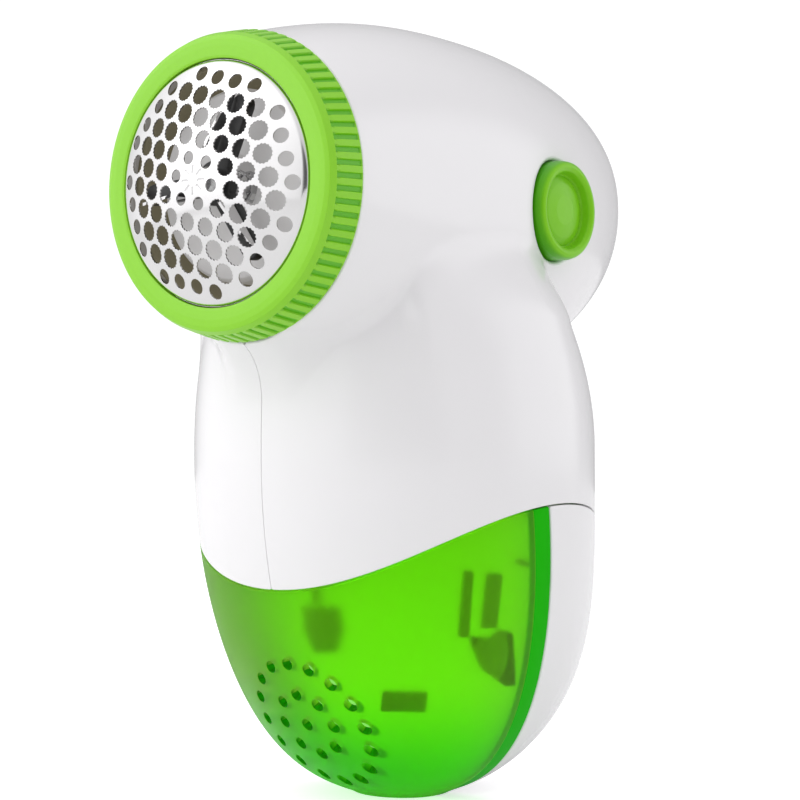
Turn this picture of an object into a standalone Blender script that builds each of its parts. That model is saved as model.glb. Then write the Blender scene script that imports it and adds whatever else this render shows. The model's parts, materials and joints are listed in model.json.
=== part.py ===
"""Fabric shaver: a barrel head on an egg-shaped handle, with a lint container and a battery cover.

The foil faces -Y, the button is on the +X side, and +Z is up. X = 0 is the plane of symmetry, where
the two housing halves meet. The origin is at the middle of the bounding box's base.
"""

import math

import bmesh
import bpy
from mathutils import Matrix, Vector

MM = 0.001
CLEAR = 0.3 * MM              # gap between pieces that touch
WALL = 2.0 * MM               # moulded walls

# Handle: superellipse sections stacked along Z
HANDLE_Y = -2.65 * MM
HANDLE_BASE_Z = 0.0
HANDLE_WIDE_Z = 61.7 * MM     # the rounding towards the base starts here, the neck's taper too
HANDLE_TOP_Z = 100.0 * MM     # ends inside the head
HANDLE_HALF_WIDTH = 35.3 * MM
HANDLE_FRONT = 37.9 * MM      # reach to the front at that height
HANDLE_REAR = 32.9 * MM
HANDLE_SQUARENESS = 2.05
BASE_ROUNDING = (2.5, 2.3, 2.8)       # exponents towards the base: side, front, rear
BASE_FULLNESS = (-0.05, -0.18, 0.97)  # how far each profile swells below the start
BASE_FLAT_ANGLE = math.radians(9.0)   # the rounding stops here, at a small flat
NECK_SPAN = 55.3 * MM                 # the neck's taper is measured over this height
NECK_TAPER = (0.53, 0.21, 1.53)

# Head: superellipse sections stacked along Y, from the collar to the rear tip
AXIS_Z = 105.2 * MM           # axis of the collar, foil, cutter and motor
HEAD_LIP_Y = -45.1 * MM
HEAD_FULL_Y = -7.25 * MM      # the fullest section
HEAD_TIP_Y = 57.3 * MM
HEAD_HALF_WIDTH = 25.9 * MM
HEAD_HALF_HEIGHT = 31.7 * MM
HEAD_MID_Z = 104.25 * MM
HEAD_TIP_Z = 110.0 * MM
HEAD_LIP_RADIUS = 25.2 * MM
HEAD_SQUARENESS = 2.1
HEAD_ROUND_REAR = 2.13

# Parting line between the housing above and the container and battery cover below:
# its height is a polynomial in the distance behind the handle's axis, over PARTING_SPAN
PARTING_SPAN = 34.1 * MM
PARTING_HEIGHTS = (52.3 * MM, 0.4 * MM, -10.7 * MM, 1.4 * MM, -0.8 * MM)

# The container and the cover meet on a plane that leans back towards the base
DIVIDE_BASE_Y = 1.3 * MM
DIVIDE_LEAN = math.atan(0.15)

# Collar ring, foil and cutter chamber, about the head's axis
COLLAR_FRONT_Y = -52.3 * MM
COLLAR_REAR_Y = -45.4 * MM
COLLAR_BORE = 21.4 * MM
COLLAR_MOUTH = 20.35 * MM
COLLAR_FACE = 23.1 * MM
COLLAR_SHOULDER = 24.3 * MM
COLLAR_REAR = 25.9 * MM
RIB_COUNT = 76
RIB_HEIGHT = 0.45 * MM
FOIL_RIM = 20.1 * MM
FOIL_RIM_Y = -52.35 * MM
FOIL_RISE = 4.95 * MM
FOIL_SHEET = 0.5 * MM
FOIL_SKIRT = 1.5 * MM
HOLE_PITCH = 3.9 * MM
HOLE_TURN = math.radians(45.7)
HOLE_RADII = (1.05 * MM, 1.45 * MM, 1.55 * MM, 1.55 * MM, 1.2 * MM)   # by ring, from the middle
CHAMBER_FRONT_Y = -50.7 * MM
CHAMBER_FLOOR_Y = -36.0 * MM
CHAMBER_RADIUS = 20.9 * MM

# Cutter
CUTTER_Y = -50.4 * MM         # rear face of the carrier
BLADE_COUNT = 3
BLADE_TURN = math.radians(65.0)

# Motor
MOTOR_FRONT_Y = -26.0 * MM
MOTOR_LENGTH = 22.0 * MM
MOTOR_RADIUS = 12.0 * MM
SHAFT_RADIUS = 1.0 * MM

# Button, on the +X side
BUTTON_Y = 11.6 * MM
BUTTON_Z = 103.8 * MM
BUTTON_RADIUS = 8.85 * MM
BUTTON_FACE_X = 27.2 * MM
BUTTON_TRAVEL = 2.0 * MM
BUTTON_GAP = 0.6 * MM

# Batteries: two AA cells that lean with the divide
CELL_RADIUS = 7.25 * MM
CELL_LENGTH = 50.5 * MM
CELL_OFFSET_X = 7.7 * MM
CELL_BASE = 10.0 * MM         # floor of the carrier, up the divide
CELL_DEPTH = 9.9 * MM         # behind the divide

# Vents in the container's front
VENT_Z = 14.65 * MM
VENT_RINGS = ((0.0, 1), (5.4 * MM, 8), (10.8 * MM, 16))
VENT_RADIUS = 1.0 * MM

# Pins that join the halves: place (y, z) and the reach of their bosses to each side
PINS = ((38.0 * MM, 112.0 * MM, 15.8 * MM), (-20.0 * MM, 127.0 * MM, 14.6 * MM),
        (20.0 * MM, 66.0 * MM, 20.2 * MM))
PIN_RADIUS = 1.3 * MM
PIN_REACH = 8.0 * MM

SECTION_STEPS = 36
PARTS = "fabric_shaver"
CUTTERS = "cutters"


# ---------------------------------------------------------------- scene and materials

def clear_scene():
    for item in list(bpy.data.objects):
        bpy.data.objects.remove(item, do_unlink=True)


def collection(name):
    found = bpy.data.collections.get(name)
    if found is None:
        found = bpy.data.collections.new(name)
        bpy.context.scene.collection.children.link(found)
    return found


def material(name, colour, roughness, metallic=0.0, alpha=1.0):
    made = bpy.data.materials.new(name)
    made.use_nodes = True
    shader = made.node_tree.nodes["Principled BSDF"]
    shader.inputs["Base Color"].default_value = (*colour, 1.0)
    shader.inputs["Roughness"].default_value = roughness
    shader.inputs["Metallic"].default_value = metallic
    shader.inputs["Alpha"].default_value = alpha
    made.diffuse_color = (*colour, alpha)
    return made


WHITE = dict(colour=(0.86, 0.86, 0.87), roughness=0.12)
LIME = dict(colour=(0.28, 0.66, 0.05), roughness=0.35)
CLEAR_GREEN = dict(colour=(0.16, 0.66, 0.01), roughness=0.3, alpha=0.6)
STEEL = dict(colour=(0.8, 0.8, 0.8), roughness=0.18, metallic=1.0)
BLACK = dict(colour=(0.03, 0.03, 0.03), roughness=0.45)
GREY = dict(colour=(0.45, 0.45, 0.45), roughness=0.5)
BRASS = dict(colour=(0.72, 0.55, 0.25), roughness=0.3, metallic=1.0)
CELL_JACKET = dict(colour=(0.1, 0.12, 0.16), roughness=0.3)


def part(name, mesh, look, smooth_angle=35.0):
    """Adds a visible part with its own material."""
    made = bpy.data.objects.new(name, mesh)
    collection(PARTS).objects.link(made)
    mesh.materials.clear()
    mesh.materials.append(material(name, **look))
    mesh.shade_smooth()
    mesh.set_sharp_from_angle(angle=math.radians(smooth_angle))
    return made


def cutter(name, mesh):
    made = bpy.data.objects.new(name, mesh)
    collection(CUTTERS).objects.link(made)
    made.hide_render = True
    made.display_type = "WIRE"
    return made


def boolean(target, other, operation="DIFFERENCE"):
    step = target.modifiers.new(other.name, "BOOLEAN")
    step.operation = operation
    step.solver = "EXACT"
    step.object = other
    return step


def bevel(target, width, segments=2, angle=40.0):
    step = target.modifiers.new("rounding", "BEVEL")
    step.width = width
    step.segments = segments
    step.limit_method = "ANGLE"
    step.angle_limit = math.radians(angle)
    return step


# ---------------------------------------------------------------- mesh builders

def finish_mesh(name, work):
    bmesh.ops.recalc_face_normals(work, faces=work.faces)
    mesh = bpy.data.meshes.new(name)
    work.to_mesh(mesh)
    work.free()
    return mesh


def loft(name, rings):
    """Closed body through rings that have the same number of points."""
    work = bmesh.new()
    rows = [[work.verts.new(point) for point in ring] for ring in rings]
    count = len(rows[0])
    for lower, upper in zip(rows, rows[1:]):
        for i in range(count):
            j = (i + 1) % count
            work.faces.new((lower[i], lower[j], upper[j], upper[i]))
    work.faces.new(list(reversed(rows[0])))
    work.faces.new(rows[-1])
    return finish_mesh(name, work)


def prism(name, outline, depth, frame=Matrix.Identity(4)):
    """Extrudes a flat outline of (x, y) points by depth along its own +Z, then places it."""
    work = bmesh.new()
    face = work.faces.new([work.verts.new((x, y, 0.0)) for x, y in outline])
    grown = bmesh.ops.extrude_face_region(work, geom=[face])
    moved = [item for item in grown["geom"] if isinstance(item, bmesh.types.BMVert)]
    bmesh.ops.translate(work, vec=(0.0, 0.0, depth), verts=moved)
    bmesh.ops.transform(work, matrix=frame, verts=work.verts)
    return finish_mesh(name, work)


def box(name, low, high):
    work = bmesh.new()
    size = [b - a for a, b in zip(low, high)]
    middle = [(a + b) / 2 for a, b in zip(low, high)]
    place = Matrix.Translation(middle) @ Matrix.Diagonal((*size, 1.0))
    bmesh.ops.create_cube(work, size=1.0, matrix=place)
    return finish_mesh(name, work)


def cylinder(name, radius, start, end, steps=24, end_radius=None):
    """Cylinder or cone from one point to another."""
    start, end = Vector(start), Vector(end)
    along = end - start
    place = Matrix.Translation((start + end) / 2) @ along.to_track_quat("Z", "X").to_matrix().to_4x4()
    work = bmesh.new()
    bmesh.ops.create_cone(
        work, cap_ends=True, segments=steps, radius1=radius,
        radius2=radius if end_radius is None else end_radius, depth=along.length, matrix=place,
    )
    return finish_mesh(name, work)


def turned(name, outline, steps, look, closed=False):
    """Turns (radius, forward) points about the head's axis; forward runs towards -Y."""
    work = bmesh.new()
    verts = [work.verts.new((radius, 0.0, forward)) for radius, forward in outline]
    for a, b in zip(verts, verts[1:]):
        work.edges.new((a, b))
    if closed:
        work.edges.new((verts[-1], verts[0]))
    mesh = bpy.data.meshes.new(name)
    work.to_mesh(mesh)
    work.free()
    made = part(name, mesh, look)
    screw = made.modifiers.new("turn", "SCREW")
    screw.steps = steps
    screw.render_steps = steps
    screw.use_merge_vertices = True
    screw.merge_threshold = 0.01 * MM
    screw.use_smooth_shade = True
    made.rotation_euler = (math.radians(90.0), 0.0, 0.0)
    made.location = (0.0, 0.0, AXIS_Z)
    return made


def wire(name, points, radius, look, sides=2):
    """A POLY tube through the points, made a closed mesh."""
    curve = bpy.data.curves.new(name, "CURVE")
    curve.dimensions = "3D"
    curve.bevel_depth = radius
    curve.bevel_resolution = sides
    curve.use_fill_caps = True
    spline = curve.splines.new("POLY")
    spline.points.add(len(points) - 1)
    for slot, point in zip(spline.points, points):
        slot.co = (*point, 1.0)
    made = bpy.data.objects.new(name, curve)
    collection(PARTS).objects.link(made)
    bpy.context.view_layer.update()
    mesh = bpy.data.meshes.new_from_object(made.evaluated_get(bpy.context.evaluated_depsgraph_get()))
    bpy.data.objects.remove(made)
    work = bmesh.new()
    work.from_mesh(mesh)
    bmesh.ops.remove_doubles(work, verts=work.verts, dist=0.01 * MM)
    return part(name, finish_mesh(name, work), look)


def smooth_route(knots, per_span=4):
    """Points on a smooth curve through the knots."""
    knots = [Vector(k) for k in knots]
    padded = [knots[0] * 2 - knots[1], *knots, knots[-1] * 2 - knots[-2]]
    route = []
    for before, start, end, after in zip(padded, padded[1:], padded[2:], padded[3:]):
        for step in range(per_span):
            t = step / per_span
            route.append(0.5 * (
                2 * start + (end - before) * t
                + (2 * before - 5 * start + 4 * end - after) * t ** 2
                + (3 * start - before - 3 * end + after) * t ** 3
            ))
    return route + [knots[-1]]


def coil(name, radius, turns, start, axis, length, gauge, look, per_turn=10):
    """Helical compression spring."""
    axis = Vector(axis).normalized()
    side = axis.orthogonal().normalized()
    other = axis.cross(side)
    count = int(turns * per_turn)
    points = []
    for i in range(count + 1):
        turn = 2 * math.pi * i / per_turn
        rise = gauge + (length - 2 * gauge) * i / count
        points.append(
            Vector(start) + axis * rise + (side * math.cos(turn) + other * math.sin(turn)) * radius
        )
    return wire(name, points, gauge, look, sides=0)


# ---------------------------------------------------------------- the form of the shells

def superellipse(t, power):
    return max(0.0, 1.0 - min(1.0, abs(t)) ** power) ** (1.0 / power)


def handle_section(z, inset=0.0):
    """Half width, front reach and rear reach of the handle at a height."""
    if z < HANDLE_WIDE_Z:
        t = (HANDLE_WIDE_Z - z) / (HANDLE_WIDE_Z - HANDLE_BASE_Z - inset)
        swell = t ** 2 * (1.0 - t ** 2)
        scales = [superellipse(t, p) * (1.0 + k * swell) for p, k in zip(BASE_ROUNDING, BASE_FULLNESS)]
    else:
        rise = ((z - HANDLE_WIDE_Z) / NECK_SPAN) ** 2
        scales = [1.0 - k * rise for k in NECK_TAPER]
    reaches = (HANDLE_HALF_WIDTH, HANDLE_FRONT, HANDLE_REAR)
    return [(reach - inset) * scale for reach, scale in zip(reaches, scales)]


def handle_ring(z, inset=0.0):
    width, front, rear = handle_section(z, inset)
    ring = []
    for i in range(SECTION_STEPS):
        angle = 2 * math.pi * i / SECTION_STEPS
        x, y = math.sin(angle), -math.cos(angle)
        depth = front if y < 0 else rear
        length = (abs(x) / width) ** HANDLE_SQUARENESS + (abs(y) / depth) ** HANDLE_SQUARENESS
        reach = length ** (-1.0 / HANDLE_SQUARENESS)
        ring.append((x * reach, HANDLE_Y + y * reach, z))
    return ring


def handle_body(name, inset=0.0):
    """The handle's closed outer form, or its inner form when inset."""
    low = HANDLE_BASE_Z + inset
    steps_below, steps_above = 9, 5
    heights = []
    for i in range(steps_below):
        angle = BASE_FLAT_ANGLE + (0.5 * math.pi - BASE_FLAT_ANGLE) * i / steps_below
        heights.append(HANDLE_WIDE_Z - (HANDLE_WIDE_Z - low) * math.cos(angle))
    for i in range(steps_above + 1):
        heights.append(HANDLE_WIDE_Z + (HANDLE_TOP_Z - HANDLE_WIDE_Z) * i / steps_above)
    rings = [handle_ring(z, inset) for z in heights]
    rings[0] = [(x, y, low) for x, y, z in rings[0]]
    return loft(name, rings)


def head_ring(y, inset=0.0):
    if y > HEAD_FULL_Y:
        scale = superellipse((y - HEAD_FULL_Y) / (HEAD_TIP_Y - inset - HEAD_FULL_Y), HEAD_ROUND_REAR)
        width, height = HEAD_HALF_WIDTH * scale, HEAD_HALF_HEIGHT * scale
        middle = HEAD_MID_Z + (HEAD_TIP_Z - HEAD_MID_Z) * (1.0 - scale)
        width, height = width - inset * scale, height - inset * scale
    else:
        blend = ((HEAD_FULL_Y - y) / (HEAD_FULL_Y - HEAD_LIP_Y)) ** 2
        width = HEAD_HALF_WIDTH + (HEAD_LIP_RADIUS - HEAD_HALF_WIDTH) * blend - inset
        height = HEAD_HALF_HEIGHT + (HEAD_LIP_RADIUS - HEAD_HALF_HEIGHT) * blend - inset
        middle = HEAD_MID_Z + (AXIS_Z - HEAD_MID_Z) * blend
    ring = []
    for i in range(SECTION_STEPS):
        angle = 2 * math.pi * (i + 0.5) / SECTION_STEPS
        x, z = math.sin(angle), math.cos(angle)
        length = (abs(x) / width) ** HEAD_SQUARENESS + (abs(z) / height) ** HEAD_SQUARENESS
        reach = length ** (-1.0 / HEAD_SQUARENESS)
        ring.append((x * reach, y, middle + z * reach))
    return ring


def head_body(name, inset=0.0, lip_extra=0.0):
    steps_front, steps_rear = 4, 8
    stations = [HEAD_LIP_Y - lip_extra]
    for i in range(1, steps_front):
        stations.append(HEAD_LIP_Y + (HEAD_FULL_Y - HEAD_LIP_Y) * i / steps_front)
    tip = HEAD_TIP_Y - inset
    for i in range(steps_rear):
        stations.append(HEAD_FULL_Y + (tip - HEAD_FULL_Y) * math.sin(0.5 * math.pi * i / steps_rear))
    stations.append(HEAD_FULL_Y + (tip - HEAD_FULL_Y) * 0.998)
    rings = [head_ring(max(y, HEAD_LIP_Y), inset) for y in stations]
    rings[0] = [(x, HEAD_LIP_Y - lip_extra, z) for x, y, z in rings[0]]
    rings[-1] = [(x, tip, z) for x, y, z in rings[-1]]
    return loft(name, rings)


def parting_height(y):
    t = (y - HANDLE_Y) / PARTING_SPAN
    return sum(k * t ** power for power, k in enumerate(PARTING_HEIGHTS))


def parting_block(name, offset, upwards):
    """Everything above or below the parting line, shifted up by offset."""
    reach = 45.0 * MM
    steps = 18
    line = []
    for i in range(steps + 1):
        y = -reach + 2 * reach * i / steps
        line.append((y, parting_height(max(-1.1 * PARTING_SPAN, min(PARTING_SPAN, y))) + offset))
    far = 160.0 * MM if upwards else -20.0 * MM
    outline = [(-reach, far), *line, (reach, far)]
    place = Matrix.Translation((-50.0 * MM, 0.0, 0.0)) @ Matrix((
        (0.0, 0.0, 1.0, 0.0), (1.0, 0.0, 0.0, 0.0), (0.0, 1.0, 0.0, 0.0), (0.0, 0.0, 0.0, 1.0),
    ))
    return prism(name, outline, 100.0 * MM, place)


def leaning():
    """Frame of the divide: local +Y behind it, local +Z up along it, from the base plane."""
    return Matrix.Translation((0.0, DIVIDE_BASE_Y, 0.0)) @ Matrix.Rotation(DIVIDE_LEAN, 4, "X")


def leaning_box(name, low, high):
    mesh = box(name, low, high)
    mesh.transform(leaning())
    return mesh


# ---------------------------------------------------------------- housing

def housing_half(side):
    """side is -1 for the left half and 1 for the right half."""
    name = "left_housing" if side < 0 else "right_housing"
    half = part(name, handle_body(name), WHITE)
    boolean(half, FORMS["head_outer"], "UNION")
    boolean(half, FORMS["handle_inner"])
    boolean(half, FORMS["head_inner"])
    boolean(half, FORMS["bosses"], "UNION")
    boolean(half, FORMS["boss_bores"])
    boolean(half, FORMS["below_parting"])
    near, far = 0.5 * CLEAR, 60.0 * MM
    low_x, high_x = (-far, -near) if side < 0 else (near, far)
    keep = cutter(name + "_side", box(name, (low_x, -far, -far), (high_x, 2 * far, 3 * far)))
    boolean(half, keep, "INTERSECT")
    return half


def button_opening():
    x0, x1 = 15.0 * MM, 40.0 * MM
    mesh = cylinder(
        "button_opening", BUTTON_RADIUS + BUTTON_GAP, (x0, BUTTON_Y, BUTTON_Z),
        (x1, BUTTON_Y, BUTTON_Z), steps=32,
    )
    return cutter("button_opening", mesh)


def pin_rods(name, radius, length=None):
    """Rods along X at the pins' places, as one mesh."""
    work = bmesh.new()
    for y, z, reach in PINS:
        place = Matrix.Translation((0.0, y, z)) @ Matrix.Rotation(math.radians(90.0), 4, "Y")
        bmesh.ops.create_cone(
            work, cap_ends=True, segments=16, radius1=radius, radius2=radius,
            depth=2 * (reach if length is None else length), matrix=place,
        )
    return finish_mesh(name, work)


def make_forms():
    forms = {
        "head_outer": head_body("head_outer"),
        "handle_inner": handle_body("handle_inner", WALL),
        "head_inner": head_body("head_inner", WALL, lip_extra=3.0 * MM),
        "below_parting": parting_block("below_parting", 0.5 * CLEAR, upwards=False),
        "above_parting": parting_block("above_parting", -0.5 * CLEAR, upwards=True),
        "bosses": pin_rods("bosses", PIN_RADIUS + 1.8 * MM),
        "boss_bores": pin_rods("boss_bores", PIN_RADIUS + CLEAR, PIN_REACH + CLEAR),
    }
    return {name: cutter(name, mesh) for name, mesh in forms.items()}


def make_housing():
    housing_half(-1)
    right = housing_half(1)
    boolean(right, button_opening())


# ---------------------------------------------------------------- container and battery cover

def make_container():
    made = part("lint_container", handle_body("lint_container"), CLEAR_GREEN)
    boolean(made, FORMS["above_parting"])
    behind = cutter("container_rear", leaning_box(
        "container_rear", (-60.0 * MM, -0.5 * CLEAR, -30.0 * MM), (60.0 * MM, 90.0 * MM, 120.0 * MM)))
    boolean(made, behind)
    hollow = cutter("container_hollow", handle_body("container_hollow", WALL))
    back_wall = cutter("container_back_wall", leaning_box(
        "container_back_wall", (-60.0 * MM, -1.8 * MM, -30.0 * MM), (60.0 * MM, 90.0 * MM, 120.0 * MM)))
    boolean(hollow, back_wall)
    boolean(made, hollow)
    boolean(made, vent_cutters())


def vent_cutters():
    """Vents drilled straight back, on rings about the middle of the cluster."""
    work = bmesh.new()
    for radius, count in VENT_RINGS:
        for i in range(count):
            angle = 2 * math.pi * i / count
            x, z = radius * math.sin(angle), VENT_Z + radius * math.cos(angle)
            middle = (x, HANDLE_Y - 23.0 * MM, z)
            place = Matrix.Translation(middle) @ Matrix.Rotation(math.radians(90.0), 4, "X")
            bmesh.ops.create_cone(
                work, cap_ends=True, segments=6, radius1=VENT_RADIUS, radius2=VENT_RADIUS,
                depth=44.0 * MM, matrix=place,
            )
    return cutter("vents", finish_mesh("vents", work))


def make_battery_cover():
    made = part("battery_cover", handle_body("battery_cover"), WHITE)
    boolean(made, FORMS["above_parting"])
    ahead = cutter("cover_front", leaning_box(
        "cover_front", (-60.0 * MM, -90.0 * MM, -30.0 * MM), (60.0 * MM, 0.5 * CLEAR, 120.0 * MM)))
    boolean(made, ahead)
    boolean(made, FORMS["handle_inner"])


# ---------------------------------------------------------------- collar, foil, chamber

def make_collar():
    """Knurled ring: a turned blank whose every other column stands out as a rib."""
    front, rear = -COLLAR_FRONT_Y, -COLLAR_REAR_Y
    outline = [
        (COLLAR_MOUTH, front),
        (COLLAR_FACE, front),
        (COLLAR_SHOULDER, front - 1.6 * MM),
        (COLLAR_SHOULDER + 0.1 * MM, front - 1.9 * MM),
        (COLLAR_REAR, rear),
        (COLLAR_BORE, rear),
        (COLLAR_BORE, front - 1.2 * MM),
        (COLLAR_MOUTH, front - 1.2 * MM),
    ]
    ribbed = (3, 4)
    columns = 2 * RIB_COUNT
    work = bmesh.new()
    rows = []
    for i in range(columns):
        angle = 2 * math.pi * i / columns
        column = []
        for j, (radius, forward) in enumerate(outline):
            reach = radius - (RIB_HEIGHT if j in ribbed and i % 2 else 0.0)
            column.append(work.verts.new(
                (reach * math.sin(angle), -forward, AXIS_Z + reach * math.cos(angle))))
        rows.append(column)
    for i, column in enumerate(rows):
        following = rows[(i + 1) % columns]
        for j in range(len(outline)):
            k = (j + 1) % len(outline)
            work.faces.new((column[j], column[k], following[k], following[j]))
    part("collar_ring", finish_mesh("collar_ring", work), LIME, smooth_angle=20.0)


def dome_forward(radius, sheet=0.0):
    """How far forward the foil's dome stands at a radius from its axis."""
    sphere = (FOIL_RIM ** 2 + FOIL_RISE ** 2) / (2 * FOIL_RISE)
    centre = -FOIL_RIM_Y + FOIL_RISE - sphere
    return centre + math.sqrt((sphere - sheet) ** 2 - radius ** 2)


def hole_places():
    """Lattice places (right, up, radius) of the foil's holes, ring by ring."""
    places = []
    for ring in range(1, 6):
        for edge in range(6):
            start = HOLE_TURN - edge * math.pi / 3
            along = start - 2 * math.pi / 3
            for step in range(ring):
                if ring == 5 and step == 0:
                    continue
                right = HOLE_PITCH * (ring * math.cos(start) + step * math.cos(along))
                up = HOLE_PITCH * (ring * math.sin(start) + step * math.sin(along))
                places.append((right, up, HOLE_RADII[ring - 1]))
    return places


def make_foil():
    rings = 4
    outer = []
    inner = []
    for i in range(rings + 1):
        radius = FOIL_RIM * i / rings
        outer.append((radius, dome_forward(radius)))
        radius = (FOIL_RIM - FOIL_SHEET) * i / rings
        inner.append((radius, dome_forward(radius, FOIL_SHEET)))
    skirt = -FOIL_RIM_Y - FOIL_SKIRT
    outline = [*outer, (FOIL_RIM, skirt), (FOIL_RIM - FOIL_SHEET, skirt), *reversed(inner)]
    foil = turned("shaving_foil", outline, 36, STEEL)
    work = bmesh.new()
    for right, up, radius in hole_places():
        place = Matrix.Translation((right, FOIL_RIM_Y - 2.0 * MM, AXIS_Z + up))
        bmesh.ops.create_cone(
            work, cap_ends=True, segments=6, radius1=radius, radius2=radius, depth=9.0 * MM,
            matrix=place @ Matrix.Rotation(math.radians(90.0), 4, "X"),
        )
    boolean(foil, cutter("foil_holes", finish_mesh("foil_holes", work)))


def make_chamber():
    front, floor = -CHAMBER_FRONT_Y, -CHAMBER_FLOOR_Y
    wall, bore = 1.5 * MM, SHAFT_RADIUS + 1.0 * MM
    boss = bore + 2.0 * MM
    outline = [
        (CHAMBER_RADIUS, front),
        (CHAMBER_RADIUS, floor - wall),
        (bore, floor - wall),
        (bore, floor + 3.0 * MM),
        (boss, floor + 3.0 * MM),
        (boss, floor),
        (CHAMBER_RADIUS - wall, floor),
        (CHAMBER_RADIUS - wall, front),
    ]
    chamber = turned("cutter_chamber", outline, 36, GREY, closed=True)
    exit_cut = cutter("chamber_exit", box(
        "chamber_exit", (-7.0 * MM, CHAMBER_FLOOR_Y - 8.0 * MM, AXIS_Z - 30.0 * MM),
        (7.0 * MM, CHAMBER_FLOOR_Y + 3.0 * MM, AXIS_Z - 16.5 * MM)))
    boolean(chamber, exit_cut)


# ---------------------------------------------------------------- cutter

def make_cutter():
    hub_radius, arm_width, arm_reach = 4.5 * MM, 5.0 * MM, 15.5 * MM
    rear, front = CUTTER_Y, CUTTER_Y - 2.0 * MM
    hub = cylinder("cutter_carrier", hub_radius, (0, rear, AXIS_Z), (0, front - 1.0 * MM, AXIS_Z))
    carrier = part("cutter_carrier", hub, BLACK)
    for i in range(BLADE_COUNT):
        angle = BLADE_TURN + 2 * math.pi * i / BLADE_COUNT
        spin = Matrix.Translation((0, 0, AXIS_Z)) @ Matrix.Rotation(-angle, 4, "Y")
        arm = box("arm", (0.0, front, -0.5 * arm_width), (arm_reach, rear, 0.5 * arm_width))
        arm.transform(spin)
        boolean(carrier, cutter("cutter_arm_%d" % (i + 1), arm), "UNION")
        make_blade(i + 1, spin, front)
    bore = cutter("cutter_bore", cylinder(
        "cutter_bore", SHAFT_RADIUS + CLEAR, (0, rear + MM, AXIS_Z), (0, front - 2.0 * MM, AXIS_Z), 12))
    boolean(carrier, bore)
    cap = cylinder(
        "cutter_cap", 2.6 * MM, (0, front - 1.3 * MM, AXIS_Z), (0, front - 2.4 * MM, AXIS_Z), 16, 1.8 * MM)
    part("cutter_cap", cap, STEEL)


def make_blade(number, spin, front):
    """A thin steel blade standing on an arm, its edge following the foil's dome."""
    inner, outer, thickness = 5.2 * MM, 15.0 * MM, 0.5 * MM
    clearance = 0.7 * MM
    foot = front - CLEAR
    edge = []
    for i in range(4):
        reach = outer + (inner - outer) * i / 3
        edge.append((reach, -dome_forward(reach, FOIL_SHEET) + clearance))
    outline = [(inner, foot), (outer, foot), *edge]
    place = spin @ Matrix.Translation((0.0, 0.0, 1.2 * MM))
    part("cutter_blade_%d" % number, prism("blade", outline, thickness, place), STEEL)


def make_drive():
    rear = MOTOR_FRONT_Y
    shaft = cylinder(
        "drive_shaft", SHAFT_RADIUS, (0, rear - 1.9 * MM, AXIS_Z), (0, CUTTER_Y - 2.8 * MM, AXIS_Z), 12)
    part("drive_shaft", shaft, STEEL)
    start = (0.0, CHAMBER_FLOOR_Y - 3.0 * MM - CLEAR, AXIS_Z)
    length = abs(CUTTER_Y - start[1]) - CLEAR
    coil("cutter_spring", 2.4 * MM, 4, start, (0, -1, 0), length, 0.3 * MM, STEEL)


def make_motor():
    rear = MOTOR_FRONT_Y + MOTOR_LENGTH
    can = [
        (0.0, -MOTOR_FRONT_Y + 1.5 * MM), (3.2 * MM, -MOTOR_FRONT_Y + 1.5 * MM),
        (3.2 * MM, -MOTOR_FRONT_Y), (MOTOR_RADIUS - 1.0 * MM, -MOTOR_FRONT_Y),
        (MOTOR_RADIUS, -MOTOR_FRONT_Y - 1.0 * MM), (MOTOR_RADIUS, -rear), (0.0, -rear),
    ]
    turned("motor_can", can, 24, STEEL)
    start = rear + CLEAR
    cap = [
        (0.0, -start), (MOTOR_RADIUS - 0.6 * MM, -start), (MOTOR_RADIUS - 0.6 * MM, -start - 2.2 * MM),
        (4.0 * MM, -start - 2.2 * MM), (3.2 * MM, -start - 4.2 * MM), (0.0, -start - 4.2 * MM),
    ]
    turned("motor_end_cap", cap, 24, BLACK)
    for side, name in ((-1, "motor_terminal_left"), (1, "motor_terminal_right")):
        x = side * 7.5 * MM
        y = start + 2.2 * MM + CLEAR
        low = (x - 1.1 * MM, y, AXIS_Z - 0.3 * MM)
        high = (x + 1.1 * MM, y + 3.0 * MM, AXIS_Z + 0.3 * MM)
        part(name, box(name, low, high), BRASS)
    bracket = part("motor_bracket", head_disc("motor_bracket", MOTOR_FRONT_Y - 3.5 * MM, 2.0 * MM), GREY)
    boolean(bracket, cutter("bracket_bore", cylinder(
        "bracket_bore", 4.0 * MM, (0, -60.0 * MM, AXIS_Z), (0, 0, AXIS_Z), 20)))
    tunnel = cutter("bracket_duct", box(
        "bracket_duct", (-40.0 * MM, -60.0 * MM, 50.0 * MM), (40.0 * MM, 0.0, AXIS_Z - 15.5 * MM)))
    boolean(bracket, tunnel)


def head_disc(name, y, thickness):
    """A flat plate across the inside of the head."""
    gap = WALL + CLEAR
    near = [(x, y, z) for x, _, z in head_ring(y, gap)]
    far = [(x, y + thickness, z) for x, _, z in head_ring(y, gap)]
    return loft(name, [near, far])


def make_duct():
    """A rectangular chute from under the cutter chamber down into the container."""
    stations = ((-40.5, 83.4), (-35.4, 80.4), (-33.4, 66.0), (-33.0, 40.0))
    half_width, depth = 7.5 * MM, 7.6 * MM
    work = bmesh.new()
    rows = []
    for y, z in stations:
        y, z = y * MM, z * MM
        corners = ((-half_width, y), (half_width, y), (half_width, y + depth), (-half_width, y + depth))
        rows.append([work.verts.new((x, across, z)) for x, across in corners])
    for upper, lower in zip(rows, rows[1:]):
        for i in range(4):
            j = (i + 1) % 4
            work.faces.new((lower[i], lower[j], upper[j], upper[i]))
    duct = part("lint_duct", finish_mesh("lint_duct", work), GREY)
    skin = duct.modifiers.new("wall", "SOLIDIFY")
    skin.thickness = 1.0 * MM
    skin.offset = -1.0


# ---------------------------------------------------------------- button and switch

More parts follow.
